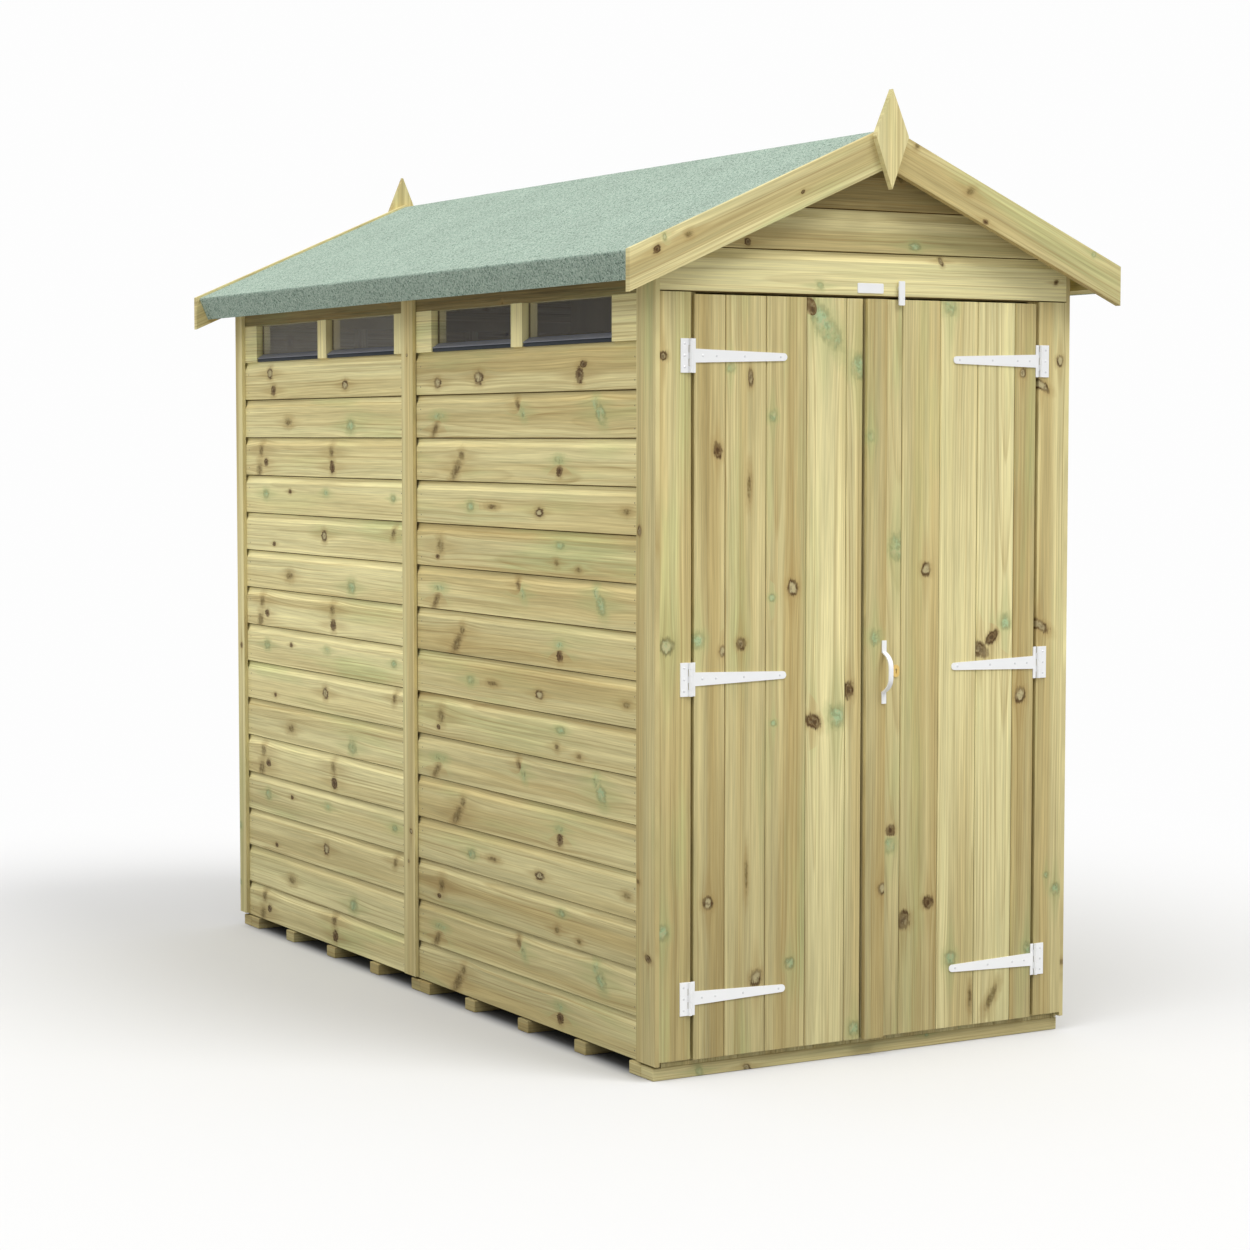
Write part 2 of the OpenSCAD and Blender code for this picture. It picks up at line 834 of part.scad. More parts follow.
// Ledges across the back of a door, with a brace rising from the hinge edge in each bay
module door_ledges(x0, x1) {
    dir = x1 > x0 ? 1 : -1;
    low_x = min(x0, x1) + ledge_inset;
    high_x = max(x0, x1) - ledge_inset;
    y1 = door_back_y + ledge_t;
    zs = [for (share = ledge_shares) door_z + share * door_h];
    for (z = zs) box([low_x, door_back_y, z - ledge_w / 2], [high_x, y1, z + ledge_w / 2]);
    from_x = dir > 0 ? low_x : high_x;
    to_x = dir > 0 ? high_x : low_x;
    for (i = [0, 1]) {
        z0 = zs[i] + ledge_w / 2 + overrun;
        z1 = zs[i + 1] - ledge_w / 2 - overrun;
        along_y(door_back_y, y1) polygon([
            [from_x, z0], [from_x + dir * brace_w, z0], [to_x, z1], [to_x - dir * brace_w, z1]
        ]);
    }
}

module left_door_boards() {
    color(pine) door_boards(-door_x, left_meeting_x, left_first);
}

module left_door_ledges() {
    color(pine_shade) door_ledges(-door_x, left_meeting_x);
}

module right_door_boards() {
    color(pine) door_boards(door_x, meeting_x, right_first);
}

module right_door_ledges() {
    color(pine_shade) door_ledges(door_x, meeting_x);
}

module meeting_strip() {
    color(pine) box([meeting_x, face_y - meeting_t, door_z], [meeting_x + meeting_w, face_y, door_top_z]);
}

// Fittings

// Half of the bow's outline: reach at a height, flat in the middle and steep at the feet
function bow_points(half, reach) = [
    for (i = [0:bow_steps]) let (u = -1 + 2 * i / bow_steps)
        [-reach * (1 - pow(abs(u), bow_power)), half * u]
];

module door_handle() {
    half = handle_h / 2;
    bow_half = half - handle_foot_h + handle_t;
    outer = bow_points(bow_half, handle_reach);
    inner = bow_points(bow_half - handle_t, handle_reach - handle_t);
    color(metal_white) translate([handle_x, face_y - meeting_t, handle_z]) {
        along_x(-handle_w / 2, handle_w / 2)
            polygon(concat(outer, [for (i = [bow_steps:-1:0]) inner[i]]));
        for (dir = [-1, 1])
            box([-handle_w / 2, -handle_t, min(dir * half, dir * (half - handle_foot_h))],
                [handle_w / 2, 0, max(dir * half, dir * (half - handle_foot_h))]);
    }
}

// Oval lock plate with a keyhole
module door_lock() {
    key_r = keyhole_share * lock_w;
    key_slot = key_slot_share * key_r;
    color(brass) translate([lock_x, face_y, handle_z]) rotate([90, 0, 0]) linear_extrude(lock_t)
        difference() {
            union() {
                for (dir = [-1, 1]) translate([0, dir * (lock_h - lock_w) / 2]) circle(r = lock_w / 2);
                square([lock_w, lock_h - lock_w], center = true);
            }
            translate([0, key_r]) circle(r = key_r);
            translate([-key_r / 2, key_r - key_slot]) square([key_r, key_slot]);
        }
}

// Turn button on a boss: its arm hangs over the top of the right door
module turn_button() {
    corner = button_corner_share * button_w;
    boss_r = button_boss_share * button_w;
    low_z = button_top_z - button_h - button_pivot_z;
    color(metal_white) translate([button_x, face_y - seat_gap, button_pivot_z]) rotate([90, 0, 0]) {
        cylinder(r = boss_r, h = button_lift + button_t / 2);
        translate([0, 0, button_lift]) linear_extrude(button_t) {
            translate([-button_w / 2 + corner, low_z]) square([button_w - 2 * corner, button_h]);
            translate([-button_w / 2, low_z + corner]) square([button_w, button_h - 2 * corner]);
            for (x = [-1, 1], z = [low_z + corner, low_z + button_h - corner])
                translate([x * (button_w / 2 - corner), z]) circle(r = corner);
        }
    }
}

floor_bearers();
floor_boards();
wall_studs();
wall_rails();
door_posts();
left_front_cladding();
left_rear_cladding();
right_front_cladding();
right_rear_cladding();
rear_cladding();
front_gable();
left_jamb();
right_jamb();
front_corner_strips();
rear_corner_strips();
left_cover_strip();
right_cover_strip();
window_posts();
window_sills();
front_window_panes();
rear_window_panes();
left_eave_board();
left_roof_boards();
right_roof_boards();
roof_felt();
eave_fascias();
roof_purlins();
front_bargeboards();
rear_bargeboards();
front_finial();
rear_finial();
left_hinge_plates();
right_hinge_plates();
left_door_boards();
left_door_ledges();
left_hinge_straps();
right_door_boards();
right_door_ledges();
right_hinge_straps();
meeting_strip();
door_handle();
door_lock();
turn_button();
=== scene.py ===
"""Looks of a wooden garden shed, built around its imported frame. Metres, +Z up, doors towards -Y."""
import math
import random

import bmesh
import bpy
from mathutils import Matrix, Vector, noise


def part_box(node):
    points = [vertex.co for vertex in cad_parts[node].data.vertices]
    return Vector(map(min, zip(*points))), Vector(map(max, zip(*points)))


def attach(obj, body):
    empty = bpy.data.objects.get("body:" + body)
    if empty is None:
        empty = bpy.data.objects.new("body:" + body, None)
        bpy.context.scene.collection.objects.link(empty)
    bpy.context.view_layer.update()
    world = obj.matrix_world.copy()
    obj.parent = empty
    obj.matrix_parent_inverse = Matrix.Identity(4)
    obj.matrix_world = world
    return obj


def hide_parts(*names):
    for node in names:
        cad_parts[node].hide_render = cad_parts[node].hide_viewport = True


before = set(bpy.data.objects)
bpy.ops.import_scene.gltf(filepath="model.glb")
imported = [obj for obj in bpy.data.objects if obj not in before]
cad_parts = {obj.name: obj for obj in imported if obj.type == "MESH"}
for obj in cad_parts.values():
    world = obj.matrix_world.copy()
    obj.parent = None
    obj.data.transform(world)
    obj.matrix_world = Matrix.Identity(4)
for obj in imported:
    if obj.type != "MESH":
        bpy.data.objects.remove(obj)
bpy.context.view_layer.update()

MM = 0.001
X, Y, Z = Vector((1, 0, 0)), Vector((0, 1, 0)), Vector((0, 0, 1))
SIDES = (("left", -1), ("right", 1))

# Camera and light
CAMERA_PLACE = (-3.9123, -6.8745, 1.5052)
CAMERA_TURN = (86.1808, 0.0, -29.9349)
CAMERA_LENS = 81.67
KEY_TURN = (38, 0, 30)
KEY_ANGLE = 28
KEY_STRENGTH = 1.65
FILL_TURN = (36, 0, -70)
FILL_ANGLE = 45
FILL_STRENGTH = 1.3
SKY_LOW = 0.30
SKY_HIGH = 1.0
BACKDROP = 0.985
FLOOR_HALF = 40.0
FLOOR_BOUNCE = 0.42
FLOOR_PALE = 0.655
FLOOR_DROP = 0.5 * MM
# The floor under the shed is painted dark: a painted shadow.
UNDER_SHADOW = 0.08
UNDER_SHADOW_HALF = (0.595, 1.205)
UNDER_SHADOW_SOFT = 35 * MM
FADE_FROM = 1.6
FADE_TO = 4.6

# Boards
ROOF_ANGLE = math.radians(23.6)
CLAD_T = 12 * MM
CLAD_FIRST = 104.5 * MM
CLAD_PITCH = 113.5 * MM
GABLE_FIRST = 103 * MM
GABLE_PITCH = 101 * MM
SCOOP_H = 22 * MM
SCOOP_D = 7.5 * MM
SCOOP_POWER = 2.2
LAP_GAP = 2.8 * MM
LIP_T = 9.5 * MM
CLAD_PLAY = 0.5 * MM
DOOR_PLAY = 0.4 * MM
DOOR_PITCH = 113.3 * MM
LEFT_FIRST = 85 * MM
RIGHT_FIRST = 65 * MM
GROOVE = 2.6 * MM
FLOOR_PITCH = 108 * MM
BEARER_W = 56 * MM
ROOF_PITCH = 96 * MM
ROOF_BOARD_T = 10.7 * MM
FELT_T = 4 * MM
FELT_FOLD = 6 * MM
FELT_WAVE = 1.1 * MM
FELT_WAVE_FROM = 60 * MM
FELT_EDGE_SINK = 0.35 * MM
FELT_RIDGE_SINK = 0.6 * MM
ARRIS = 1.6 * MM
FINE_ARRIS = 0.8 * MM
METAL_ARRIS = 0.5 * MM
HANDLE_ARRIS = 0.9 * MM
BUTTON_ARRIS = 0.8 * MM
JOINT = 0.6 * MM
WELD = 0.01 * MM

# Pine: colours, growth rings, and depths and heights at which its look changes
SAPWOOD = (0.71, 0.645, 0.34)
HEARTWOOD = (0.53, 0.415, 0.175)
GREEN_WOOD = (0.46, 0.52, 0.225)
LATEWOOD = (0.33, 0.215, 0.07)
BARK = (0.062, 0.026, 0.009)
GREEN_BARK = (0.115, 0.11, 0.035)
PALE_KNOT = (0.46, 0.40, 0.22)
PALE_SPOT = (0.55, 0.48, 0.26)
DARK_KNOT = (0.10, 0.045, 0.015)
SMEARED_KNOT = (0.185, 0.135, 0.045)
GREEN_KNOT = (0.37, 0.42, 0.20)
COPPER_KNOT = (0.33, 0.50, 0.29)
KNOT_PITH = (0.03, 0.012, 0.006)
BROWN_HALO = (0.37, 0.245, 0.085)
GREEN_HALO = (0.40, 0.44, 0.19)
# Soiling and painted shade in the joints and on sunk sides
JOINT_SOIL_AND_SHADE = (0.11, 0.07, 0.022)
YEAR_W = 6.8 * MM
PITH_ASIDE = 170 * MM
PITH_DEEPER = 50 * MM
PITH_DEPTH = 12 * MM
# Depths of the painted highlight in the hollows
HIGHLIGHT_FROM = 0.2 * MM
HIGHLIGHT_FULL = 2 * MM
HIGHLIGHT_FADE = 4 * MM
# Depths where the soiling and painted shade in the joints end
SOIL_SHADE_END_FROM = 10.3 * MM
SOIL_SHADE_END_TO = 11.8 * MM
# Height over which the painted shade near the ground lifts
GROUND_SHADE_TO = 1200 * MM
PINE_RELIEF = 0.5 * MM
FELT_RELIEF = 1.0 * MM
METAL_RELIEF = 0.2 * MM

# Felt: ground, granules and flecks
FELT_DARK = (0.23, 0.325, 0.255)
FELT_PALE = (0.465, 0.555, 0.47)
FELT_FLECK = (0.10, 0.16, 0.125)

# The depth of a joint times this sets how dark it is painted, as soiling and painted shade; on the strips
# and window blocks it is painted shade on their sides and reveals.
GROOVE_SOIL_AND_SHADE = 3.7
STRIP_SHADE = 5.8
BLOCK_SHADE = 0.45

# Tones: below zero is browner, above zero is paler. Doors run from left to right, the gable upwards. Some
# tones are painted light and shade: the gable darkens upwards as painted shade under the bargeboards, the
# eave plank and the bearers are painted in shade, the front bearer is lifted back into the light, and the
# window blocks are partly painted light.
LEFT_DOOR_TONES = (-1.5, -1.1, -1.4, 0.5, 0.3)
RIGHT_DOOR_TONES = (-1.0, -0.8, 0.9, 1.2, -1.2)
GABLE_SHADE_TONES = (2.9, -0.3, -6.0, -8.0, -8.0)
BEARER_SHADE_TONE = -2.4
FRONT_BEARER_LIFT = 3.2
REAR_PANEL_TONE = 1.8
LEFT_JAMB_TONE = -0.2
RIGHT_JAMB_TONE = -0.8
CORNER_TONE = -0.3
COVER_TONE = 1.2
BLOCK_TONE_AND_LIGHT = 3.0
EAVE_SHADE_TONE = -8.5
BARGE_TONE = -0.5
FINIAL_TONE = 1.8
MEETING_TONE = -1.5

# Knots: each is a place, a half-width, a lean in degrees, a stretch and a kind. Millimetres.
# Kind runs from -1, green, through 0, pale with a dark ring, to 1, dark brown. Past 1 or -1 it is a smear.
KNOTS = 6
KNOT_GROWTH = 1.4
PANEL_GROWTH = 1.6
PANEL_RISE = 6
KNOT_LEAST = 4 * MM
KNOT_MOST = 11 * MM
SMEAR = 1.4
NO_KNOT = (-99.0, 0.0, 1 * MM, 0.0, 1.0, 0.0)

# Places on the front are x and z.
LEFT_DOOR_KNOTS = [
    (-134, 1767, 20, 37, 2.6, -0.9), (-170, 1806, 12, 37, 1.8, 0.8), (-36, 1671, 17, 0, 1.4, -0.6),
    (-397, 1662, 8, 0, 1.0, -0.9), (-342, 1640, 5, 0, 3.0, 0.6), (-281, 1551, 9, 0, 1.2, -0.8),
    (-432, 1472, 8, 10, 1.8, 0.9), (-345, 1388, 5, 0, 6.0, 1.5), (-223, 1146, 11, 0, 1.3, 0.3),
    (-281, 1124, 7, 0, 1.0, -0.8), (-485, 1031, 13, 0, 1.2, -0.5), (-367, 1018, 9, 0, 1.2, 0.7),
    (-418, 1002, 7, 0, 1.4, 0.4), (-276, 827, 6, 0, 1.0, -0.7), (-164, 826, 12, 60, 1.4, 0.9),
    (-95, 835, 18, 0, 1.2, -1.0), (-62, 896, 10, 0, 1.6, 0.8), (-457, 412, 10, 0, 1.2, 0.3),
    (-351, 470, 4, 0, 9.0, 1.5), (-323, 222, 11, -20, 1.4, 0.35), (-229, 249, 10, 0, 1.2, -0.4),
    (-40, 70, 12, 0, 1.3, -0.9),
]
RIGHT_DOOR_KNOTS = [
    (60, 510, 12, 0, 1.3, -0.8), (63, 548, 9, 0, 1.2, 0.9), (80, 1236, 19, 0, 1.3, -0.9),
    (165, 1181, 10, 0, 1.2, 0.45), (104, 324, 13, 0, 1.3, 0.7), (178, 362, 11, 0, 1.1, 1.0),
    (246, 215, 12, 0, 1.3, -0.9), (307, 111, 5, 0, 5.0, 1.5), (231, 1820, 14, 20, 1.2, -0.9),
    (329, 980, 12, 50, 1.8, 0.7), (407, 1044, 13, 0, 1.2, -0.8), (367, 1008, 9, -45, 1.8, 0.8),
    (373, 107, 9, -30, 3.2, 1.5), (455, 860, 12, 0, 1.2, 0.2), (485, 220, 10, 0, 1.3, -0.6),
    (455, 1660, 7, 0, 1.3, 0.4),
]
MEETING_KNOTS = [(6, 1021, 12, 0, 1.2, -0.5), (31, 409, 9, 0, 1.2, 0.3), (-8, 1504, 9, 0, 1.2, -0.8)]
LEFT_JAMB_KNOTS = [
    (-570, 1019, 13, 0, 1.2, -0.3), (-580, 353, 12, 0, 1.2, -0.7), (-580, 1687, 8, 0, 1.0, 0.6),
]
RIGHT_JAMB_KNOTS = [
    (515, 1033, 9, 60, 2.5, 0.5), (572, 363, 10, 0, 1.2, -0.6), (543, 401, 6, 0, 1.0, -0.7),
    (571, 1691, 8, 0, 1.2, 0.2), (512, 1631, 8, 60, 2.5, 0.4),
]
# Places on a side board are y and the height over its lower edge. The top board has its own knots,
# and the four patterns below it repeat down the wall.
FRONT_PANEL_TOP = [
    (-111, 28, 8, 0, 1.5, 0.2), (-349, 37, 10, 0, 1.6, 0.2), (-883, 34, 12.2, 0, 1.1, 0.8),
    (-903, 60, 5, 0, 2.2, 0.8),
]
FRONT_PANEL_KNOTS = [
    [(-115, 53, 7, 0, 3.6, -1.5), (-95, 18, 9, 42, 2.2, 1.3), (-564, 80, 7, 135, 1.9, 1.3),
     (-588, 60, 8.4, 135, 1.7, -1.4), (-962, 78, 9.8, 135, 1.4, -1.4), (-988, 52, 12.6, 135, 1.5, -0.9)],
    [(-250, 62, 10.1, 0, 1.2, 1.4), (-218, 26, 12, 42, 2.3, 1.3), (-779, 56, 7, 0, 2.3, -1.4),
     (-782, 29, 9.2, 0, 1.1, 0.9)],
    [(-298, 46, 8, 0, 1.8, -1.0), (-676, 39, 7, 0, 2.0, 0.1), (-1110, 50, 6, 0, 2.4, 1.4),
     (-420, 48, 5, 0, 4.2, 1.5)],
    [(-122, 52, 13.8, 0, 1.1, 1.4), (-107, 22, 4, 0, 1.8, 0.9), (-785, 74, 6, 0, 2.5, -0.7),
     (-766, 30, 6.5, 0, 1.6, 1.4), (-878, 18, 5, 0, 2.2, 1.4)],
]
REAR_PANEL_TOP = [(1024, 74, 10.1, 0, 1.2, 0.4), (996, 22, 9.5, 0, 1.3, 0.9), (481, 31, 8.2, 0, 1.5, 0.3)]
REAR_PANEL_KNOTS = [
    [(885, 42, 9, 0, 2.2, 1.4), (446, 28, 11.7, 0, 1.5, -0.9)],
    [(1095, 71, 12.2, 0, 1.1, 1.4), (1057, 36, 7, 0, 1.5, 0.9), (1108, 14, 15, 42, 1.2, 1.4),
     (579, 69, 12, 0, 1.1, 1.4), (573, 26, 10.7, 0, 1.1, 0.9)],
    [(1059, 54, 8.6, 0, 1.6, -1.0), (878, 64, 4, 0, 1.9, 0.9), (619, 65, 6, 0, 2.2, -1.4),
     (168, 57, 6, 0, 1.9, -0.9)],
    [(1000, 20, 4, 0, 1.8, 0.9), (632, 54, 10.1, 0, 1.2, 0.2), (165, 76, 9, 42, 1.3, 1.4)],
]

# Fittings
PLATE_LOW = (-42 * MM, 1844.5 * MM)
PLATE_HIGH = (33 * MM, 1868.5 * MM)
PLATE_T = 2 * MM
PLATE_CORNER = 3 * MM
PLATE_EDGE = 0.5 * MM
HINGE_T = 2.5 * MM
SCREW_SINK = 0.2 * MM
HINGE_PIN_X = 508 * MM
STRAP_SCREWS = [34 * MM, 71 * MM, 148 * MM, 248 * MM]
PLATE_SCREW_OUT = 16 * MM
PLATE_SCREW_RISE = 27 * MM
SCREW_R = 3.0 * MM
SCREW_H = 1.0 * MM
NAIL_R = 1.7 * MM
NAIL_H = 0.3 * MM
NAIL_INSET = 26 * MM
NAIL_RISES = (24 * MM, 78 * MM)
SILL_FOOT_H = 9.5 * MM
SILL_FOOT_SET = 3 * MM
SILL_NOSE = 1.6 * MM
SILL_TOP = 23 * MM
SILL_T = 2 * MM
SILL_END = 5 * MM
WIDE_BLOCK = 120 * MM


# Shader graphs


class Field:
    """A value in a shader graph. Arithmetic on fields adds math nodes."""

    def __init__(self, graph, socket):
        self.graph = graph
        self.socket = socket

    def __add__(self, other):
        return self.graph.math("ADD", self, other)

    def __sub__(self, other):
        return self.graph.math("SUBTRACT", self, other)

    def __rsub__(self, other):
        return self.graph.math("SUBTRACT", other, self)

    def __mul__(self, other):
        return self.graph.math("MULTIPLY", self, other)

    def __truediv__(self, other):
        return self.graph.math("DIVIDE", self, other)

    __radd__ = __add__
    __rmul__ = __mul__


class Graph:
    """A material or world, and the nodes that feed its shader."""

    def __init__(self, owner):
        owner.use_nodes = True
        self.owner = owner
        self.tree = owner.node_tree
        self.shader = next(n for n in self.tree.nodes if n.type in ("BSDF_PRINCIPLED", "BACKGROUND"))

    def node(self, kind, **settings):
        made = self.tree.nodes.new(kind)
        for key, value in settings.items():
            setattr(made, key, value)
        return made

    def plug(self, socket, value):
        if isinstance(value, Field):
            self.tree.links.new(value.socket, socket)
        elif isinstance(value, tuple) and len(value) == 3 and socket.type == "RGBA":
            socket.default_value = (*value, 1.0)
        else:
            socket.default_value = value

    def feed(self, made, **inputs):
        for name, value in inputs.items():
            self.plug(made.inputs[name.replace("_", " ")], value)
        return made

    def set(self, **inputs):
        self.feed(self.shader, **inputs)

    def math(self, operation, *values):
        made = self.node("ShaderNodeMath", operation=operation)
        for socket, value in zip(made.inputs, values):
            self.plug(socket, value)
        return Field(self, made.outputs[0])

    def largest(self, a, b):
        return self.math("MAXIMUM", a, b)

    def root(self, a):
        return self.math("SQRT", a)

    def attribute(self, name):
        return Field(self, self.node("ShaderNodeAttribute", attribute_name=name).outputs["Vector"])

    def place(self):
        return Field(self, self.node("ShaderNodeNewGeometry").outputs["Position"])

    def split(self, vector):
        made = self.node("ShaderNodeSeparateXYZ")
        self.plug(made.inputs[0], vector)
        return [Field(self, socket) for socket in made.outputs]

    def join(self, x, y, z):
        made = self.node("ShaderNodeCombineXYZ")
        for socket, value in zip(made.inputs, (x, y, z)):
            self.plug(socket, value)
        return Field(self, made.outputs[0])

    def noise(self, vector, scale=1.0, detail=2.0, roughness=0.5):
        made = self.node("ShaderNodeTexNoise")
        self.feed(made, Vector=vector, Scale=scale, Detail=detail, Roughness=roughness)
        return Field(self, made.outputs["Fac"])

    def cells(self, vector, scale):
        made = self.feed(self.node("ShaderNodeTexVoronoi"), Vector=vector, Scale=scale)
        return Field(self, made.outputs["Distance"]), Field(self, made.outputs["Color"])

    def smooth(self, value, low, high):
        """Runs from 0 at low to 1 at high."""
        made = self.node("ShaderNodeMapRange", interpolation_type="SMOOTHSTEP")
        self.feed(made, Value=value, From_Min=low, From_Max=high)
        return Field(self, made.outputs["Result"])

    def mix(self, share, a, b):
        made = self.node("ShaderNodeMix", data_type="RGBA")
        self.plug(made.inputs[0], share)
        self.plug(made.inputs[6], a)
        self.plug(made.inputs[7], b)
        return Field(self, made.outputs[2])

    def shade(self, colour, factor):
        made = self.node("ShaderNodeVectorMath", operation="SCALE")
        self.plug(made.inputs[0], colour)
        self.plug(made.inputs["Scale"], factor)
        return Field(self, made.outputs[0])

    def bump(self, height, strength, distance):
        made = self.node("ShaderNodeBump")
        self.feed(made, Strength=strength, Distance=distance, Height=height)
        self.tree.links.new(made.outputs["Normal"], self.shader.inputs["Normal"])

    def seen(self):
        """1 where the eye, a mirror or glass looks, and 0 on the way of the light."""
        rays = self.node("ShaderNodeLightPath")
        shown = Field(self, rays.outputs["Is Camera Ray"])
        for name in ("Is Glossy Ray", "Is Transmission Ray"):
            shown = self.largest(shown, Field(self, rays.outputs[name]))
        return shown

    def blend(self, share, other):
        """Turns into another shader by a share."""
        made = self.node("ShaderNodeMixShader")
        self.plug(made.inputs[0], share)
        self.tree.links.new(self.shader.outputs[0], made.inputs[1])
        self.tree.links.new(other.outputs[0], made.inputs[2])
        out = next(n for n in self.tree.nodes if n.type in ("OUTPUT_MATERIAL", "OUTPUT_WORLD"))
        self.tree.links.new(made.outputs[0], out.inputs["Surface"])


def pine_material():
    """Pressure-treated pine. Boards carry their grain frame, tone and knots as attributes."""
    g = Graph(bpy.data.materials.new("pine"))
    u, v, w = g.split(g.attribute("grain"))
    tone, tint, seed = g.split(g.attribute("timber"))
    rough = g.noise(g.join(u * 70, v * 70, seed), detail=3, roughness=0.6) - 0.5
    feather = g.noise(g.join(u * 28, v * 240, seed + 61), detail=2) - 0.5
    flank = g.noise(g.join(u * 36, v * 36, seed + 47), detail=1)
    mottle = g.noise(g.join(u * 80, v * 80, seed + 31), detail=2, roughness=0.6)
    drift = g.noise(g.join(u * 0.9, v * 5, seed), detail=1) - 0.5

    # Each knot pushes the grain aside and leaves a tail along it. The nearest knot sets the look.
    far, kind, shift, tail = 9.0, 0.0, 0.0, 0.0
    for i in range(KNOTS):
        knot_u, knot_v, radius = g.split(g.attribute(f"knot_{i}"))
        lean, stretch, own_kind = g.split(g.attribute(f"shape_{i}"))
        du, dv = u - knot_u, v - knot_v
        cos, sin = g.math("COSINE", lean), g.math("SINE", lean)
        a, b = (du * cos + dv * sin) / stretch, dv * cos - du * sin
        own = g.root(a * a + b * b) / radius
        closer = g.math("LESS_THAN", own, far)
        kind = (own_kind - kind) * closer + kind
        far = g.math("MINIMUM", own, far)
        push = radius * radius / (du * du * 0.12 + dv * dv + radius * radius * 0.7)
        shift = dv * push + shift
        run = g.root(du * du * 0.02 + dv * dv) / radius
        tail = g.largest(1 - g.smooth(run, 0.25, 1.25), tail)
    far = far + rough * 0.75 + feather * 0.8

    # Growth rings: distance from a pith that wanders off the board
    across = v - shift * 0.6 + drift * 0.005
    pith_v = (g.math("FRACT", seed * 0.37) - 0.35) * PITH_ASIDE
    pith_w = g.math("FRACT", seed * 0.71) * PITH_DEEPER + PITH_DEPTH
    taper = (g.math("FRACT", seed * 0.53) - 0.5) * 0.045
    off = across - pith_v
    deep = pith_w + taper * u + drift * 0.01
    reach = g.root(off * off + deep * deep)
    years = reach / YEAR_W + g.noise(g.join(u * 1.2, reach * 30, seed), detail=2) * 0.9
    season = g.math("FRACT", years)
    fade = g.smooth(g.noise(g.join(u * 1.1, across * 22, seed + 7), detail=2), 0.32, 0.66)
    late = season * season * season * (1 - g.smooth(season, 0.88, 1.0)) * fade

    streak = g.noise(g.join(u * 0.9, across * 42, seed + 3), detail=4, roughness=0.72)
    band = g.smooth(g.noise(g.join(u * 0.4, across * 15, seed + 11), detail=2), 0.42, 0.62)
    fibre = g.noise(g.join(u * 9, across * 420, seed + 5), detail=2)
    line = g.smooth(g.noise(g.join(u * 0.8, across * 190, seed + 17), detail=2), 0.5, 0.72)
    stain = g.smooth(g.noise(g.join(u * 1.6, across * 12, seed + 23), detail=3), 0.5, 0.75)

    colour = g.mix(g.smooth(band * 0.42 - tone * 0.14 + 0.17, -0.15, 1.0), SAPWOOD, HEARTWOOD)
    colour = g.mix(stain * (tint * 0.45 + 0.15), colour, GREEN_WOOD)
    colour = g.shade(colour, (streak - 0.5) * 1.15 + (fibre - 0.5) * 0.45 + tone * 0.06 + 1)
    colour = g.mix(late * 0.5 + line * 0.42, colour, LATEWOOD)

    green = g.smooth(kind * -1, 0.1, 0.5)
    dark = g.smooth(kind, 0.3, 0.9)
    smear = g.smooth(g.math("ABSOLUTE", kind), 1.0, SMEAR)
    pale_spot = g.smooth(mottle, 0.52, 0.62)
    dark_spot = 1 - g.smooth(mottle, 0.38, 0.48)
    patchy = g.smooth(flank, 0.38, 0.6)
    inside = 1 - g.smooth(far, 0.3, 1.08)
    pith = 1 - g.smooth(far, 0.1, 0.5)
    ring = g.smooth(far, 0.4, 0.75) * (1 - g.smooth(far, 0.8, 1.25)) * (1 - smear)
    halo = g.largest(1 - g.smooth(far, 0.8, 2.3), tail * 0.8)
    bark = g.mix(green, BARK, GREEN_BARK)
    heart = g.mix(dark, PALE_KNOT, DARK_KNOT)
    heart = g.mix(smear, heart, SMEARED_KNOT)
    heart = g.mix(green, heart, g.mix(patchy, GREEN_KNOT, COPPER_KNOT))
    heart = g.mix(pale_spot * (0.6 - dark * 0.35), heart, PALE_SPOT)
    heart = g.mix(dark_spot * (0.45 + smear * 0.3), heart, bark)
    heart = g.mix(pith * dark * (1 - smear) * 0.7, heart, KNOT_PITH)
    colour = g.mix(halo * 0.5, colour, g.mix(green, BROWN_HALO, GREEN_HALO))
    colour = g.mix(inside * (0.92 - green * 0.2 - smear * 0.15), colour, heart)
    colour = g.mix(ring * (0.45 + patchy * 0.45) * (1 - green * 0.65), colour, bark)
    # Painted highlight: the hollows are painted paler, where the light catches them.
    below = w * -1
    hollow = g.smooth(below, HIGHLIGHT_FROM, HIGHLIGHT_FULL) * (1 - g.smooth(below, HIGHLIGHT_FADE, SCOOP_D))
    colour = g.shade(colour, hollow * 0.12 + 1)
    # Soiling and painted shade: the colour darkens deep in the joints and on the sunk sides of strips.
    soil_and_shade = g.smooth(below, SCOOP_D, LIP_T) * (1 - g.smooth(below, SOIL_SHADE_END_FROM, SOIL_SHADE_END_TO))
    colour = g.mix(soil_and_shade * 0.92, colour, JOINT_SOIL_AND_SHADE)
    # Painted shade: the boards are darker towards the ground.
    height = g.split(g.place())[2]
    colour = g.shade(colour, g.smooth(height, 0.0, GROUND_SHADE_TO) * 0.26 + 0.80)

    g.set(Base_Color=colour, Roughness=0.74 - streak * 0.2, Specular_IOR_Level=0.12)
    g.bump(fibre * 0.5 - late * 0.6 - ring * 0.8, 0.35, PINE_RELIEF)
    return g.owner


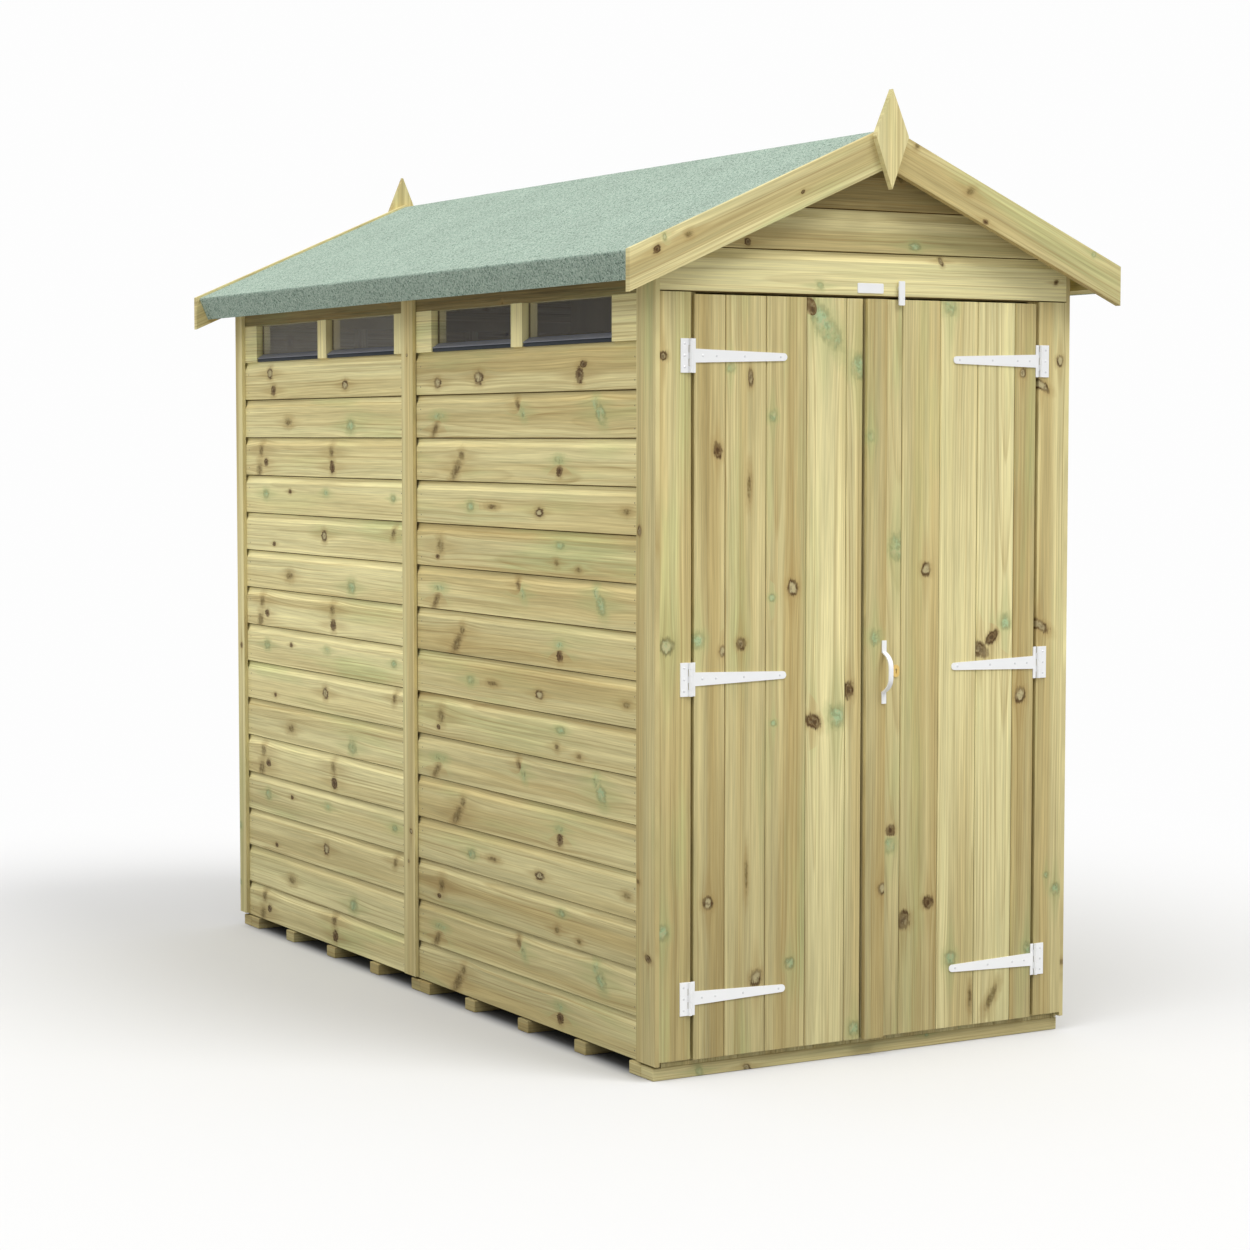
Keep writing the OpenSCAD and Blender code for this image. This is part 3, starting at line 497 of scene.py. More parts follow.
def felt_material():
    """Green mineral felt: coarse granules over a mottled ground."""
    g = Graph(bpy.data.materials.new("felt"))
    place = g.place()
    grain, tint = g.cells(place, 310)
    red, _, blue = g.split(tint)
    mottle = g.noise(place, 6.0, detail=4) - 0.5
    speckle = g.noise(place, 210, detail=2) - 0.5
    colour = g.mix(red, FELT_DARK, FELT_PALE)
    colour = g.mix(g.smooth(blue, 0.86, 0.95), colour, FELT_FLECK)
    colour = g.shade(colour, mottle * 0.25 + speckle * 1.0 + 0.94)
    g.set(Base_Color=colour, Roughness=0.92, Specular_IOR_Level=0.25)
    g.bump(1 - grain, 0.9, FELT_RELIEF)
    return g.owner


def paint_material(name, low, high, roughness, gloss=0.5):
    """Powder coat with a faint orange-peel surface."""
    g = Graph(bpy.data.materials.new(name))
    peel = g.noise(g.place(), 900, detail=2)
    cloud = g.noise(g.place(), 30, detail=3)
    g.set(Base_Color=g.mix(cloud, low, high), Roughness=cloud * 0.12 + roughness)
    g.set(Specular_IOR_Level=gloss)
    g.bump(peel, 0.12, METAL_RELIEF)
    return g.owner


def metal_material(name, low, high, roughness, stretch):
    """Bare metal with fine marks along one way."""
    g = Graph(bpy.data.materials.new(name))
    x, y, z = g.split(g.place())
    marks = g.noise(g.join(x * stretch[0], y * stretch[1], z * stretch[2]), detail=3)
    g.set(Base_Color=g.mix(marks, low, high), Metallic=1.0, Roughness=marks * 0.2 + roughness)
    g.bump(marks, 0.08, METAL_RELIEF)
    return g.owner


def glass_material(name, low, high):
    """Dusty sheet glazing whose colour is painted: it stands for what the panes reflect and for the dim
    inside behind them.
    """
    g = Graph(bpy.data.materials.new(name))
    dust = g.noise(g.place(), 14, detail=4)
    g.set(Base_Color=g.mix(dust, low, high), Roughness=dust * 0.08 + 0.03)
    g.set(Alpha=0.15, Specular_IOR_Level=0.06)
    return g.owner


PINE = pine_material()
FELT = felt_material()
WHITE = paint_material("white_paint", (0.84, 0.85, 0.85), (0.88, 0.88, 0.88), 0.36)
SCREW = metal_material("screw_steel", (0.62, 0.62, 0.63), (0.78, 0.78, 0.79), 0.32, (300, 300, 300))
SILL = paint_material("sill_metal", (0.17, 0.18, 0.21), (0.235, 0.245, 0.28), 0.42, 0.2)
# Painted shade: a near-black foot under each sill stands for the shadow below its nose.
SILL_FOOT_SHADE = paint_material("sill_foot_shade", (0.03, 0.036, 0.042), (0.05, 0.057, 0.063), 0.55, 0.08)
BRASS = metal_material("brass", (0.70, 0.47, 0.13), (0.86, 0.63, 0.24), 0.25, (260, 260, 40))
NAIL = metal_material("nail_steel", (0.13, 0.12, 0.09), (0.25, 0.23, 0.18), 0.5, (400, 400, 400))
PLATE = paint_material("plate_plastic", (0.83, 0.84, 0.85), (0.90, 0.90, 0.91), 0.42)
# Painted reflection and shade: one glass in two copies, the rear panes painted paler than the front.
FRONT_GLASS = glass_material("front_glass", (0.28, 0.262, 0.242), (0.37, 0.35, 0.325))
REAR_GLASS = glass_material("rear_glass", (0.57, 0.54, 0.49), (0.69, 0.66, 0.60))


# Meshes


def place_object(name, mesh, material, body, nodes=()):
    mesh.materials.append(material)
    piece = bpy.data.objects.new(name, mesh)
    bpy.context.scene.collection.objects.link(piece)
    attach(piece, body)
    if nodes:
        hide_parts(*nodes)
    return piece


def mesh_from(name, bm):
    bmesh.ops.recalc_face_normals(bm, faces=bm.faces)
    mesh = bpy.data.meshes.new(name)
    bm.to_mesh(mesh)
    bm.free()
    return mesh


def smooth_rounds(mesh, degrees=35):
    mesh.polygons.foreach_set("use_smooth", [True] * len(mesh.polygons))
    mesh.set_sharp_from_angle(angle=math.radians(degrees))


def inset(profile, amount):
    """The profile with each point moved inwards."""
    moved = []
    count = len(profile)
    for i, (a, b) in enumerate(profile):
        before, after = profile[i - 1], profile[(i + 1) % count]
        side = Vector((after[0] - before[0], after[1] - before[1])).normalized()
        moved.append((a - side.y * amount, b + side.x * amount))
    return moved


def loft(bm, rings):
    """Skins a row of closed rings and caps its ends."""
    for low, high in zip(rings, rings[1:]):
        for i in range(len(low)):
            bm.faces.new((low[i - 1], low[i], high[i], high[i - 1]))
    bm.faces.new(rings[0])
    bm.faces.new(rings[-1])


def prism(profile, length, arris=ARRIS):
    """A bar along X with an anticlockwise profile in Y and Z, its ends eased."""
    bm = bmesh.new()
    stations = ((0, arris), (arris, 0), (length - arris, 0), (length, arris))
    rings = [[bm.verts.new((x, *p)) for p in inset(profile, depth)] for x, depth in stations]
    loft(bm, rings)
    return bm


def laid(start, along, out):
    """The matrix that lays a bar out from its start, with its face outwards."""
    return Matrix.Translation(start) @ Matrix((along, out.cross(along), out)).transposed().to_4x4()


def corner_points(centre, radius, start, steps=3):
    """A quarter round about a centre, from a start angle in quarter turns."""
    angles = [(start + i / steps) * math.pi / 2 for i in range(steps + 1)]
    return [(centre[0] + radius * math.cos(a), centre[1] + radius * math.sin(a)) for a in angles]


def rounded(low, high, radius, steps=3):
    """An anticlockwise rectangle with round corners."""
    left, right, foot, top = low[0] + radius, high[0] - radius, low[1] + radius, high[1] - radius
    centres = ((right, top), (left, top), (left, foot), (right, foot))
    return [point for i, c in enumerate(centres) for point in corner_points(c, radius, i, steps)]


def shiplap_profile(height, steps=7):
    """A shiplap board below its face at zero: a hollow along its top edge and a lip at its foot."""
    points = [(0, -CLAD_T), (height, -CLAD_T)]
    for i in range(steps + 1):
        share = 1 - i / steps
        points.append((height - SCOOP_H * (1 - share), -SCOOP_D * (1 - (1 - share) ** SCOOP_POWER)))
    points += corner_points((LAP_GAP + ARRIS, -ARRIS), ARRIS, 1)
    return points + [(LAP_GAP, -LIP_T), (0, -LIP_T)]


def groove_profile(width, thickness, low_groove, high_groove):
    """A matchboard below its face at zero, with a V along the edges that meet a neighbour."""
    low, high = (GROOVE if low_groove else FINE_ARRIS), (GROOVE if high_groove else FINE_ARRIS)
    return [(0, -thickness), (width, -thickness), (width, -high), (width - high, 0), (low, 0), (0, -low)]


class Timber:
    """A joined mesh of boards, each with its own grain, tone and knots."""

    def __init__(self, name, body, *nodes, tone=0.0, spread=1.0):
        self.name, self.body, self.nodes = name, body, nodes
        self.tone, self.spread = tone, spread
        self.random = random.Random(name)
        self.points, self.faces = [], []
        self.values = {"grain": [], "timber": []}
        for i in range(KNOTS):
            self.values[f"knot_{i}"] = []
            self.values[f"shape_{i}"] = []

    def add(self, bm, start, along, out, knots=(), local=False, green=None,
            tone=0.0, soil_and_shade=0.0, sunk=False):
        """Takes one board. start, along and out set its grain; a local mesh is laid out in that frame.
        The depth scale sets how deep joints are painted dark, as soiling and painted shade, and a sunk
        board stays dark all the way down."""
        frame_of = laid(start, along, out)
        if local:
            bm.transform(frame_of)
        bmesh.ops.recalc_face_normals(bm, faces=bm.faces)
        back = frame_of.inverted()
        first = len(self.points)
        bm.verts.index_update()
        grains = [(back @ vert.co) * Vector((1, 1, soil_and_shade)) for vert in bm.verts]
        if sunk:
            for grain in grains:
                grain.z = max(grain.z, -LIP_T)
        self.points += [vert.co.copy() for vert in bm.verts]
        self.faces += [[first + vert.index for vert in face.verts] for face in bm.faces]
        tone += self.tone + self.random.uniform(-1, 1) * self.spread
        tint = self.random.random() if green is None else green
        seed = self.random.uniform(0, 200)
        self.values["grain"] += grains
        self.values["timber"] += [Vector((tone, tint, seed))] * len(grains)
        shown = (list(knots) + [NO_KNOT] * KNOTS)[:KNOTS]
        for i, (along_at, across_at, radius, lean, stretch, kind) in enumerate(shown):
            self.values[f"knot_{i}"] += [Vector((along_at, across_at, radius))] * len(grains)
            self.values[f"shape_{i}"] += [Vector((lean, stretch, kind))] * len(grains)
        bm.free()

    def chance_knots(self, length, width, count):
        """A few knots anywhere on a board."""
        made = []
        for _ in range(count):
            place = (self.random.uniform(0, length), self.random.uniform(0, width))
            radius = self.random.uniform(KNOT_LEAST, KNOT_MOST)
            lean = math.radians(self.random.uniform(0, 180))
            stretch, kind = self.random.uniform(1, 1.8), self.random.uniform(-0.9, 1)
            made.append((*place, radius, lean, stretch, SMEAR if 0 < kind < 0.6 else kind))
        return made

    def build(self):
        mesh = bpy.data.meshes.new(self.name)
        mesh.from_pydata(self.points, [], self.faces)
        for name, rows in self.values.items():
            layer = mesh.attributes.new(name, "FLOAT_VECTOR", "POINT")
            layer.data.foreach_set("vector", [number for row in rows for number in row])
        return place_object(self.name, mesh, PINE, self.body, self.nodes)


def solids(node):
    """The separate solids of a CAD node, with whole flat faces."""
    source = bmesh.new()
    source.from_mesh(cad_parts[node].data)
    bmesh.ops.remove_doubles(source, verts=source.verts, dist=WELD)
    bmesh.ops.dissolve_limit(
        source, angle_limit=math.radians(0.5), verts=source.verts, edges=source.edges)
    seen, found = set(), []
    for seed in source.verts:
        if seed in seen:
            continue
        island, stack = [], [seed]
        seen.add(seed)
        while stack:
            vert = stack.pop()
            island.append(vert)
            for edge in vert.link_edges:
                other = edge.other_vert(vert)
                if other not in seen:
                    seen.add(other)
                    stack.append(other)
        part = bmesh.new()
        made = {vert: part.verts.new(vert.co) for vert in island}
        for face in {face for vert in island for face in vert.link_faces}:
            part.faces.new([made[vert] for vert in face.verts])
        found.append(part)
    source.free()
    found.sort(key=lambda part: tuple(round(c, 4) for c in extent(part)[0]))
    return found


def extent(bm):
    """Lowest and highest corners of a mesh."""
    low = Vector(min(v.co[i] for v in bm.verts) for i in range(3))
    high = Vector(max(v.co[i] for v in bm.verts) for i in range(3))
    return low, high


def boxes(node):
    """Lowest and highest corners of each solid of a CAD node."""
    found = []
    for part in solids(node):
        found.append(extent(part))
        part.free()
    return found


def ease(bm, amount, segments=2, degrees=30):
    """Rounds the sharp edges of a mesh."""
    least = math.radians(degrees)
    sharp = [e for e in bm.edges if len(e.link_faces) == 2 and e.calc_face_angle(0) > least]
    bmesh.ops.bevel(
        bm, geom=sharp, offset=amount, segments=segments, profile=0.5, affect="EDGES", clamp_overlap=True)
    return bm


def way_of(choice, part):
    """A way that is given as a vector, or worked out for each part."""
    return choice(part) if callable(choice) else choice


def dress(name, node, out=None, along=None, knots=None, chance=2, tone=0.0,
          soil_and_shade=0.0, sunk=True, body="shed"):
    """Timbers with eased edges in place of the solids of a CAD node."""
    timber = Timber(name, body, node, tone=tone)
    for part in solids(node):
        low, high = extent(part)
        size = high - low
        axis = way_of(along, part) or (X, Y, Z)[max(range(3), key=lambda i: size[i])]
        face = way_of(out, part) or (Z if abs(axis.z) < 0.5 else Y)
        face = (face - axis * face.dot(axis)).normalized()
        across = face.cross(axis)
        reach = [[vert.co.dot(d) for vert in part.verts] for d in (axis, across, face)]
        start = axis * min(reach[0]) + across * min(reach[1]) + face * max(reach[2])
        length, width = (max(r) - min(r) for r in reach[:2])
        ease(part, ARRIS)
        if knots:
            spots = front_knots(knots, start)
        else:
            spots = timber.chance_knots(length, width, chance)
        timber.add(part, start, axis, face, spots, soil_and_shade=soil_and_shade, sunk=sunk)
    return timber.build()


# Floor


# The bearers are painted darker, painted shade under the floor; the front bearer, which faces the light, is
# lifted back out of it.
def floor_bearers():
    timber = Timber("bearer_timbers", "shed", "floor_bearers", tone=BEARER_SHADE_TONE)
    for place, (low, high) in enumerate(boxes("floor_bearers")):
        tone = FRONT_BEARER_LIFT if place == 0 else 0.0
        count = max(1, round((high.y - low.y) / BEARER_W))
        width = (high.y - low.y) / count
        for i in range(count):
            bar = prism(rounded((0, JOINT - width), (high.z - low.z, 0), ARRIS), high.x - low.x)
            start = Vector((low.x, low.y + i * width, low.z))
            knots = timber.chance_knots(high.x - low.x, high.z - low.z, 3)
            timber.add(bar, start, X, -Y, knots, local=True, green=0.2, tone=tone)
    return timber.build()


def floor_boards():
    timber = Timber("floor_planks", "shed", "floor_boards")
    for low, high in boxes("floor_boards"):
        count = math.ceil((high.x - low.x) / FLOOR_PITCH)
        for i in range(count):
            left = low.x + i * FLOOR_PITCH
            width = min(FLOOR_PITCH, high.x - left) - JOINT
            board = prism(groove_profile(width, high.z - low.z, i > 0, i < count - 1), high.y - low.y)
            knots = timber.chance_knots(high.y - low.y, width, 3)
            start = Vector((left + width, low.y, high.z))
            timber.add(board, start, Y, Z, knots, local=True, soil_and_shade=GROOVE_SOIL_AND_SHADE)
    return timber.build()


# Wall boards


def board_lines(low, high, first, pitch):
    """Lower and upper heights of the boards in a shiplap wall."""
    lines, at = [low], low + first
    while at < high - SCOOP_H:
        lines.append(at)
        at += pitch
    lines.append(high)
    return list(zip(lines, lines[1:]))


def panel_knots(rows, top, row, rear):
    """Knots of the board that is row boards from the top, along a panel that starts at the rear."""
    spots = top if row == 0 else rows[(row - 1) % len(rows)]
    return [(rear - y * MM, (v + PANEL_RISE) * MM, r * PANEL_GROWTH * MM, math.radians(lean), stretch, kind)
            for y, v, r, lean, stretch, kind in spots]


def side_cladding(node, side, rows=None, top=None, tone=0.0):
    """Shiplap boards of a side wall; side is -1 on the left and 1 on the right."""
    timber = Timber(node + "_planks", "shed", node, tone=tone, spread=0.6)
    low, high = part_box(node)
    along = Y * side
    face = low.x if side < 0 else high.x
    end = high.y if side < 0 else low.y
    courses = board_lines(low.z, high.z, CLAD_FIRST, CLAD_PITCH)
    for i, (z0, z1) in enumerate(courses):
        board = prism(shiplap_profile(z1 - z0), high.y - low.y, FINE_ARRIS)
        depth = timber.random.uniform(0, CLAD_PLAY)
        start = Vector((face - side * depth, end, z0))
        if rows:
            knots = panel_knots(rows, top, len(courses) - 1 - i, high.y)
        else:
            knots = timber.chance_knots(high.y - low.y, z1 - z0, 4)
        timber.add(board, start, along, X * side, knots, local=True, soil_and_shade=1.0)
    return timber.build()


def gable_cladding(node, end, first, pitch, tones=(0.0,)):
    """Shiplap boards of an end wall, cut to the slopes of the roof; end is -1 at the front."""
    timber = Timber(node + "_planks", "shed", node)
    low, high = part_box(node)
    face = low.y if end < 0 else high.y
    along = X * -end
    for i, (z0, z1) in enumerate(board_lines(low.z, high.z, first, pitch)):
        board = prism(shiplap_profile(z1 - z0), high.x - low.x, FINE_ARRIS)
        start = Vector((low.x if end < 0 else high.x, face, z0))
        board.transform(laid(start, along, Y * end))
        for side in (-1, 1):
            slope = Vector((side * math.sin(ROOF_ANGLE), 0, math.cos(ROOF_ANGLE)))
            everything = list(board.verts) + list(board.edges) + list(board.faces)
            bmesh.ops.bisect_plane(
                board, geom=everything, plane_co=(0, 0, high.z), plane_no=slope, clear_outer=True)
            bmesh.ops.holes_fill(board, edges=board.edges, sides=0)
        if not board.verts:
            board.free()
            continue
        knots = timber.chance_knots(high.x - low.x, z1 - z0, 3)
        timber.add(board, start, along, Y * end, knots, tone=tones[i % len(tones)], soil_and_shade=1.0)
    return timber.build()


def front_knots(table, start):
    """Knots given by x and z on the front, for a board whose grain runs down from its start."""
    return [(start.z - z * MM, x * MM - start.x, r * KNOT_GROWTH * MM, math.radians(lean), stretch, kind)
            for x, z, r, lean, stretch, kind in table]


def outward(part):
    """Away from the middle, to the left or right."""
    low, high = extent(part)
    return -X if low.x + high.x < 0 else X


# Roof


def slope_axes(side):
    """Down the slope and square to it, on the left (-1) or right (1)."""
    down = Vector((side * math.cos(ROOF_ANGLE), 0, -math.sin(ROOF_ANGLE)))
    return down, Vector((side * math.sin(ROOF_ANGLE), 0, math.cos(ROOF_ANGLE)))


def roof_boards(node, side):
    """Matchboards along the roof, their faces towards the inside."""
    timber = Timber(node + "_planks", "shed", node)
    low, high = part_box(node)
    down, up = slope_axes(side)
    ridge = Vector((0, low.y, high.z))
    corner = max((v.co.copy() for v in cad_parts[node].data.vertices), key=lambda c: abs(c.x))
    length = (corner - ridge).dot(down)
    count = math.floor(length / ROOF_PITCH)
    along = Y * side
    end = low.y if side > 0 else high.y
    for i in range(count):
        upper = ROOF_BOARD_T * math.tan(ROOF_ANGLE) + JOINT if i == 0 else i * ROOF_PITCH
        lower = length if i == count - 1 else (i + 1) * ROOF_PITCH
        width = lower - upper - JOINT
        board = prism(groove_profile(width, ROOF_BOARD_T, i > 0, i < count - 1), high.y - low.y, FINE_ARRIS)
        inner = ridge + down * upper - up * ROOF_BOARD_T
        start = Vector((inner.x, end, inner.z))
        knots = timber.chance_knots(high.y - low.y, width, 3)
        timber.add(board, start, along, -up, knots, local=True, soil_and_shade=GROOVE_SOIL_AND_SHADE)
    return timber.build()


def felt_sheet():
    """One sheet of felt over both slopes, turned down over the eaves, lying not quite flat."""
    low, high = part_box("roof_felt")
    slope_steps, fold_steps, edge_steps, length_steps = 26, 5, 3, 80
    down = slope_axes(1)[0]
    ridge = Vector((0, 0, high.z))
    eave = max((v.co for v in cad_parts["roof_felt"].data.vertices), key=lambda c: c.x)
    slope_len = (Vector((eave.x, 0, eave.z)) - ridge).dot(down)
    drop = (high.z - low.z - slope_len * math.sin(ROOF_ANGLE)) / math.cos(ROOF_ANGLE)

    # Half of the outer line of the section, from the ridge to the foot of the turned-down edge
    flat, edge = slope_len - FELT_FOLD, drop - FELT_FOLD
    outer = [(i * flat / slope_steps, 0.0) for i in range(slope_steps + 1)]
    for i in range(1, fold_steps + 1):
        angle = i / fold_steps * math.pi / 2
        outer.append((flat + FELT_FOLD * math.sin(angle), -FELT_FOLD + FELT_FOLD * math.cos(angle)))
    outer += [(slope_len, -FELT_FOLD - edge * i / edge_steps) for i in range(1, edge_steps + 1)]
    inner = [(min(s, slope_len - FELT_T), min(n, 0) - FELT_T) for s, n in outer[:slope_steps + 1]]
    inner += [(slope_len - FELT_T, -FELT_T - FELT_FOLD), (slope_len - FELT_T, -drop)]

    def section(y):
        points = []
        for side in (-1, 1):
            d, n = slope_axes(side)
            half = []
            for s, h in outer:
                base = ridge + d * s + n * h
                if h < 0:
                    half.append(base - d * FELT_EDGE_SINK)
                    continue
                wave = noise.noise(Vector((base.x * 3.1, y * 2.3, side)))
                wave += 0.5 * noise.noise(Vector((base.x * 8.0, y * 7.0, side + 9)))
                half.append(base - n * (0.5 + 0.5 * wave) * FELT_WAVE * min(1, s / FELT_WAVE_FROM))
            back = [ridge + d * s + n * h for s, h in inner]
            points.append((half, back))
        (left, left_back), (right, right_back) = points
        loop = left[::-1] + right[1:] + right_back[::-1] + left_back[1:]
        loop[len(left) - 1].z -= FELT_RIDGE_SINK
        return [Vector((p.x, y, p.z)) for p in loop]

    bm = bmesh.new()
    rings = []
    for i in range(length_steps + 1):
        y = low.y + (high.y - low.y) * i / length_steps
        rings.append([bm.verts.new(p) for p in section(y)])
    loft(bm, rings)
    mesh = mesh_from("felt_cover", bm)
    smooth_rounds(mesh, 40)
    return place_object("felt_cover", mesh, FELT, "shed", ["roof_felt"])


def slope_grain(part):
    """Down the slope, for a board that leans to the left or right."""
    low, high = extent(part)
    return slope_axes(-1 if low.x + high.x < 0 else 1)[0]


# Doors


def door_boards(node, body, table, hinge_side, first, tones):
    """Upright matchboards of a door; hinge_side is -1 on the left and 1 on the right."""
    timber = Timber(node + "_planks", body, node, spread=0.3)
    low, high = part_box(node)
    edge = low.x if hinge_side < 0 else high.x
    cuts, at = [low.x, high.x], edge - hinge_side * first
    while low.x + GROOVE * 2 < at < high.x - GROOVE * 2:
        cuts.append(at)
        at -= hinge_side * DOOR_PITCH
    cuts.sort()
    for i, (x0, x1) in enumerate(zip(cuts, cuts[1:])):
        profile = groove_profile(x1 - x0 - JOINT, high.y - low.y, i > 0, i < len(cuts) - 2)
        board = prism(profile, high.z - low.z, FINE_ARRIS)
        start = Vector((x0 + JOINT / 2, low.y + timber.random.uniform(0, DOOR_PLAY), high.z))
        knots = [k for k in front_knots(table, start) if 0 < k[1] < x1 - x0]
        timber.add(board, start, -Z, -Y, knots, local=True, tone=tones[i % len(tones)], soil_and_shade=GROOVE_SOIL_AND_SHADE)
    return timber.build()


def ledge_grain(part):
    """Along a ledge, or up a brace."""
    low, high = extent(part)
    size = high - low
    if size.z < size.x:
        return X
    top = max(part.verts, key=lambda v: (v.co.z, v.co.x)).co
    foot = min(part.verts, key=lambda v: (v.co.z, -v.co.x)).co
    return (Vector((top.x, 0, top.z)) - Vector((foot.x, 0, foot.z))).normalized()


# Metal and glass


def joined(name, parts):
    """One mesh of several parts, its rounds shaded smooth."""
    whole = bmesh.new()
    for part in parts:
        mesh = bpy.data.meshes.new("part")
        part.to_mesh(mesh)
        part.free()
        whole.from_mesh(mesh)
        bpy.data.meshes.remove(mesh)
    mesh = mesh_from(name, whole)
    smooth_rounds(mesh)
    return mesh


def fitting(name, body, node, material, arris=METAL_ARRIS, segments=2):
    """One mesh of a CAD node's solids with eased edges."""
    parts = [ease(part, arris, segments, degrees=40) for part in solids(node)]
    return place_object(name, joined(name, parts), material, body, [node])


def glazing(name, node, material):
    """Panes that let the daylight in undimmed."""
    panes = fitting(name, "shed", node, material)
    panes.visible_shadow = False
    panes.visible_diffuse = False


def sill_channels():
    """Folded sills under the lights: a slope down from the glass to a thin nose, on a dark foot that paints
    the shade under the nose.
    """
    covers, feet = [], []
    for low, high in boxes("window_sills"):
        deep, length = high.x - low.x, high.y - low.y
        set_out = laid(Vector((high.x, low.y, low.z)), Y, Z)
        nose = SILL_FOOT_H + SILL_NOSE
        slope = [(0, SILL_FOOT_H), (deep, SILL_FOOT_H), (deep, nose), (SILL_T, SILL_TOP), (0, SILL_TOP)]
        face = deep - SILL_FOOT_SET
        block = [(0, 0), (face, 0), (face, SILL_FOOT_H - JOINT), (0, SILL_FOOT_H - JOINT)]
        covers.append(prism(slope, length - SILL_END, METAL_ARRIS))
        feet.append(prism(block, length, METAL_ARRIS))
        covers[-1].transform(set_out)
        feet[-1].transform(set_out)
    cover_mesh = joined("window_sill_channels", covers)
    place_object("window_sill_channels", cover_mesh, SILL, "shed", ["window_sills"])
    place_object("window_sill_shade_feet", joined("window_sill_shade_feet", feet), SILL_FOOT_SHADE, "shed")


def block_grain(part):
    """Level on a wide window block and upright on a narrow one."""
    low, high = extent(part)
    return -Y if high.y - low.y > WIDE_BLOCK else Z


def screw_head(bm, place, out, radius, height, sides=16):
    """A domed head with a sunk drive."""
    side = out.orthogonal().normalized()
    other = out.cross(side)
    rings = []
    for share, rise in ((1.0, 0.0), (0.96, 0.35), (0.72, 0.85), (0.42, 1.0), (0.34, 0.45)):
        ring = []
        for i in range(sides):
            a = i / sides * math.tau
            spoke = side * math.cos(a) + other * math.sin(a)
            ring.append(bm.verts.new(place + spoke * radius * share + out * height * rise))
        rings.append(ring)
    loft(bm, rings)


def heads(name, body, places, out, material, radius=SCREW_R, height=SCREW_H):
    bm = bmesh.new()
    for place in places:
        screw_head(bm, place, out, radius, height)
    mesh = mesh_from(name, bm)
    smooth_rounds(mesh)
    return place_object(name, mesh, material, body)


def hinge_screws(word, side):
    """Screws of a door's hinges: on the plates, which stay, and on the straps, which swing."""
    plates, straps = word + "_hinge_plates", word + "_hinge_straps"
    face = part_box(word + "_door_boards")[0].y - HINGE_T + SCREW_SINK
    pin = side * HINGE_PIN_X
    on_plate, on_strap = [], []
    for low, high in boxes(plates):
        z = (low.z + high.z) / 2
        for rise in (-PLATE_SCREW_RISE, 0, PLATE_SCREW_RISE):
            on_plate.append(Vector((pin + side * PLATE_SCREW_OUT, face, z + rise)))
        on_strap += [Vector((pin - side * out, face, z)) for out in STRAP_SCREWS]
    heads(plates + "_screws", "shed", on_plate, -Y, SCREW)
    heads(straps + "_screws", word + "_door", on_strap, -Y, SCREW)


def cladding_nails():
    """Nail heads near the ends of the side boards."""
    front_strip, rear_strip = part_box("front_corner_strips"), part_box("rear_corner_strips")
    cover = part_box("left_cover_strip")
    spans = {"front": (front_strip[1].y, cover[0].y), "rear": (cover[1].y, rear_strip[0].y)}
    for word, side in SIDES:
        places = []
        for panel, ends in spans.items():
            low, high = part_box(f"{word}_{panel}_cladding")
            face = low.x if side < 0 else high.x
            for z0, z1 in board_lines(low.z, high.z, CLAD_FIRST, CLAD_PITCH):
                for rise in NAIL_RISES:
                    if rise < z1 - z0 - SCOOP_H:
                        for y in (ends[0] + NAIL_INSET, ends[1] - NAIL_INSET):
                            places.append(Vector((face, y, z0 + rise)))
        heads(word + "_nails", "shed", places, X * side, NAIL, NAIL_R, NAIL_H)


def blank_plate():
    """A small bare plate over the doors."""
    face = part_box("front_gable")[0].y
    outline = rounded(PLATE_LOW, PLATE_HIGH, PLATE_CORNER, 5)
    bm = bmesh.new()
    rings = []
    for out, deep in ((0, 0), (PLATE_T - PLATE_EDGE, 0), (PLATE_T, PLATE_EDGE)):
        rings.append([bm.verts.new((x, face - out, z)) for x, z in inset(outline, deep)])
    loft(bm, rings)
    return place_object("blank_plate", mesh_from("blank_plate", bm), PLATE, "shed")


# The shed

floor_bearers()
floor_boards()
dress("stud_timbers", "wall_studs")
dress("rail_timbers", "wall_rails")
dress("door_post_timbers", "door_posts")
side_cladding("left_front_cladding", -1, FRONT_PANEL_KNOTS, FRONT_PANEL_TOP)
side_cladding("left_rear_cladding", -1, REAR_PANEL_KNOTS, REAR_PANEL_TOP, REAR_PANEL_TONE)
side_cladding("right_front_cladding", 1)
side_cladding("right_rear_cladding", 1)
gable_cladding("rear_cladding", 1, CLAD_FIRST, CLAD_PITCH)
# The gable boards darken upwards: painted shade under the bargeboards, with a paler lowest board.
gable_cladding("front_gable", -1, GABLE_FIRST, GABLE_PITCH, GABLE_SHADE_TONES)
dress("left_jamb_board", "left_jamb", out=-Y, along=-Z, knots=LEFT_JAMB_KNOTS, tone=LEFT_JAMB_TONE)
dress("right_jamb_board", "right_jamb", out=-Y, along=-Z, knots=RIGHT_JAMB_KNOTS, tone=RIGHT_JAMB_TONE)

dress("front_corner_boards", "front_corner_strips", out=outward, chance=3, tone=CORNER_TONE)
dress("rear_corner_boards", "rear_corner_strips", out=outward, chance=3)
# The cover strips' sides are painted dark: painted shade beside the strips.
dress("left_cover_board", "left_cover_strip", out=outward, chance=3, tone=COVER_TONE, soil_and_shade=STRIP_SHADE)
dress("right_cover_board", "right_cover_strip", out=outward, chance=3, soil_and_shade=STRIP_SHADE)
# The window blocks are paler, partly their own wood and partly painted light for the reveals behind the
# glass; a painted shade band darkens their reveals next to the glass.
dress("window_blocks", "window_posts", out=outward, along=block_grain, chance=0,
      tone=BLOCK_TONE_AND_LIGHT, soil_and_shade=BLOCK_SHADE, sunk=False)
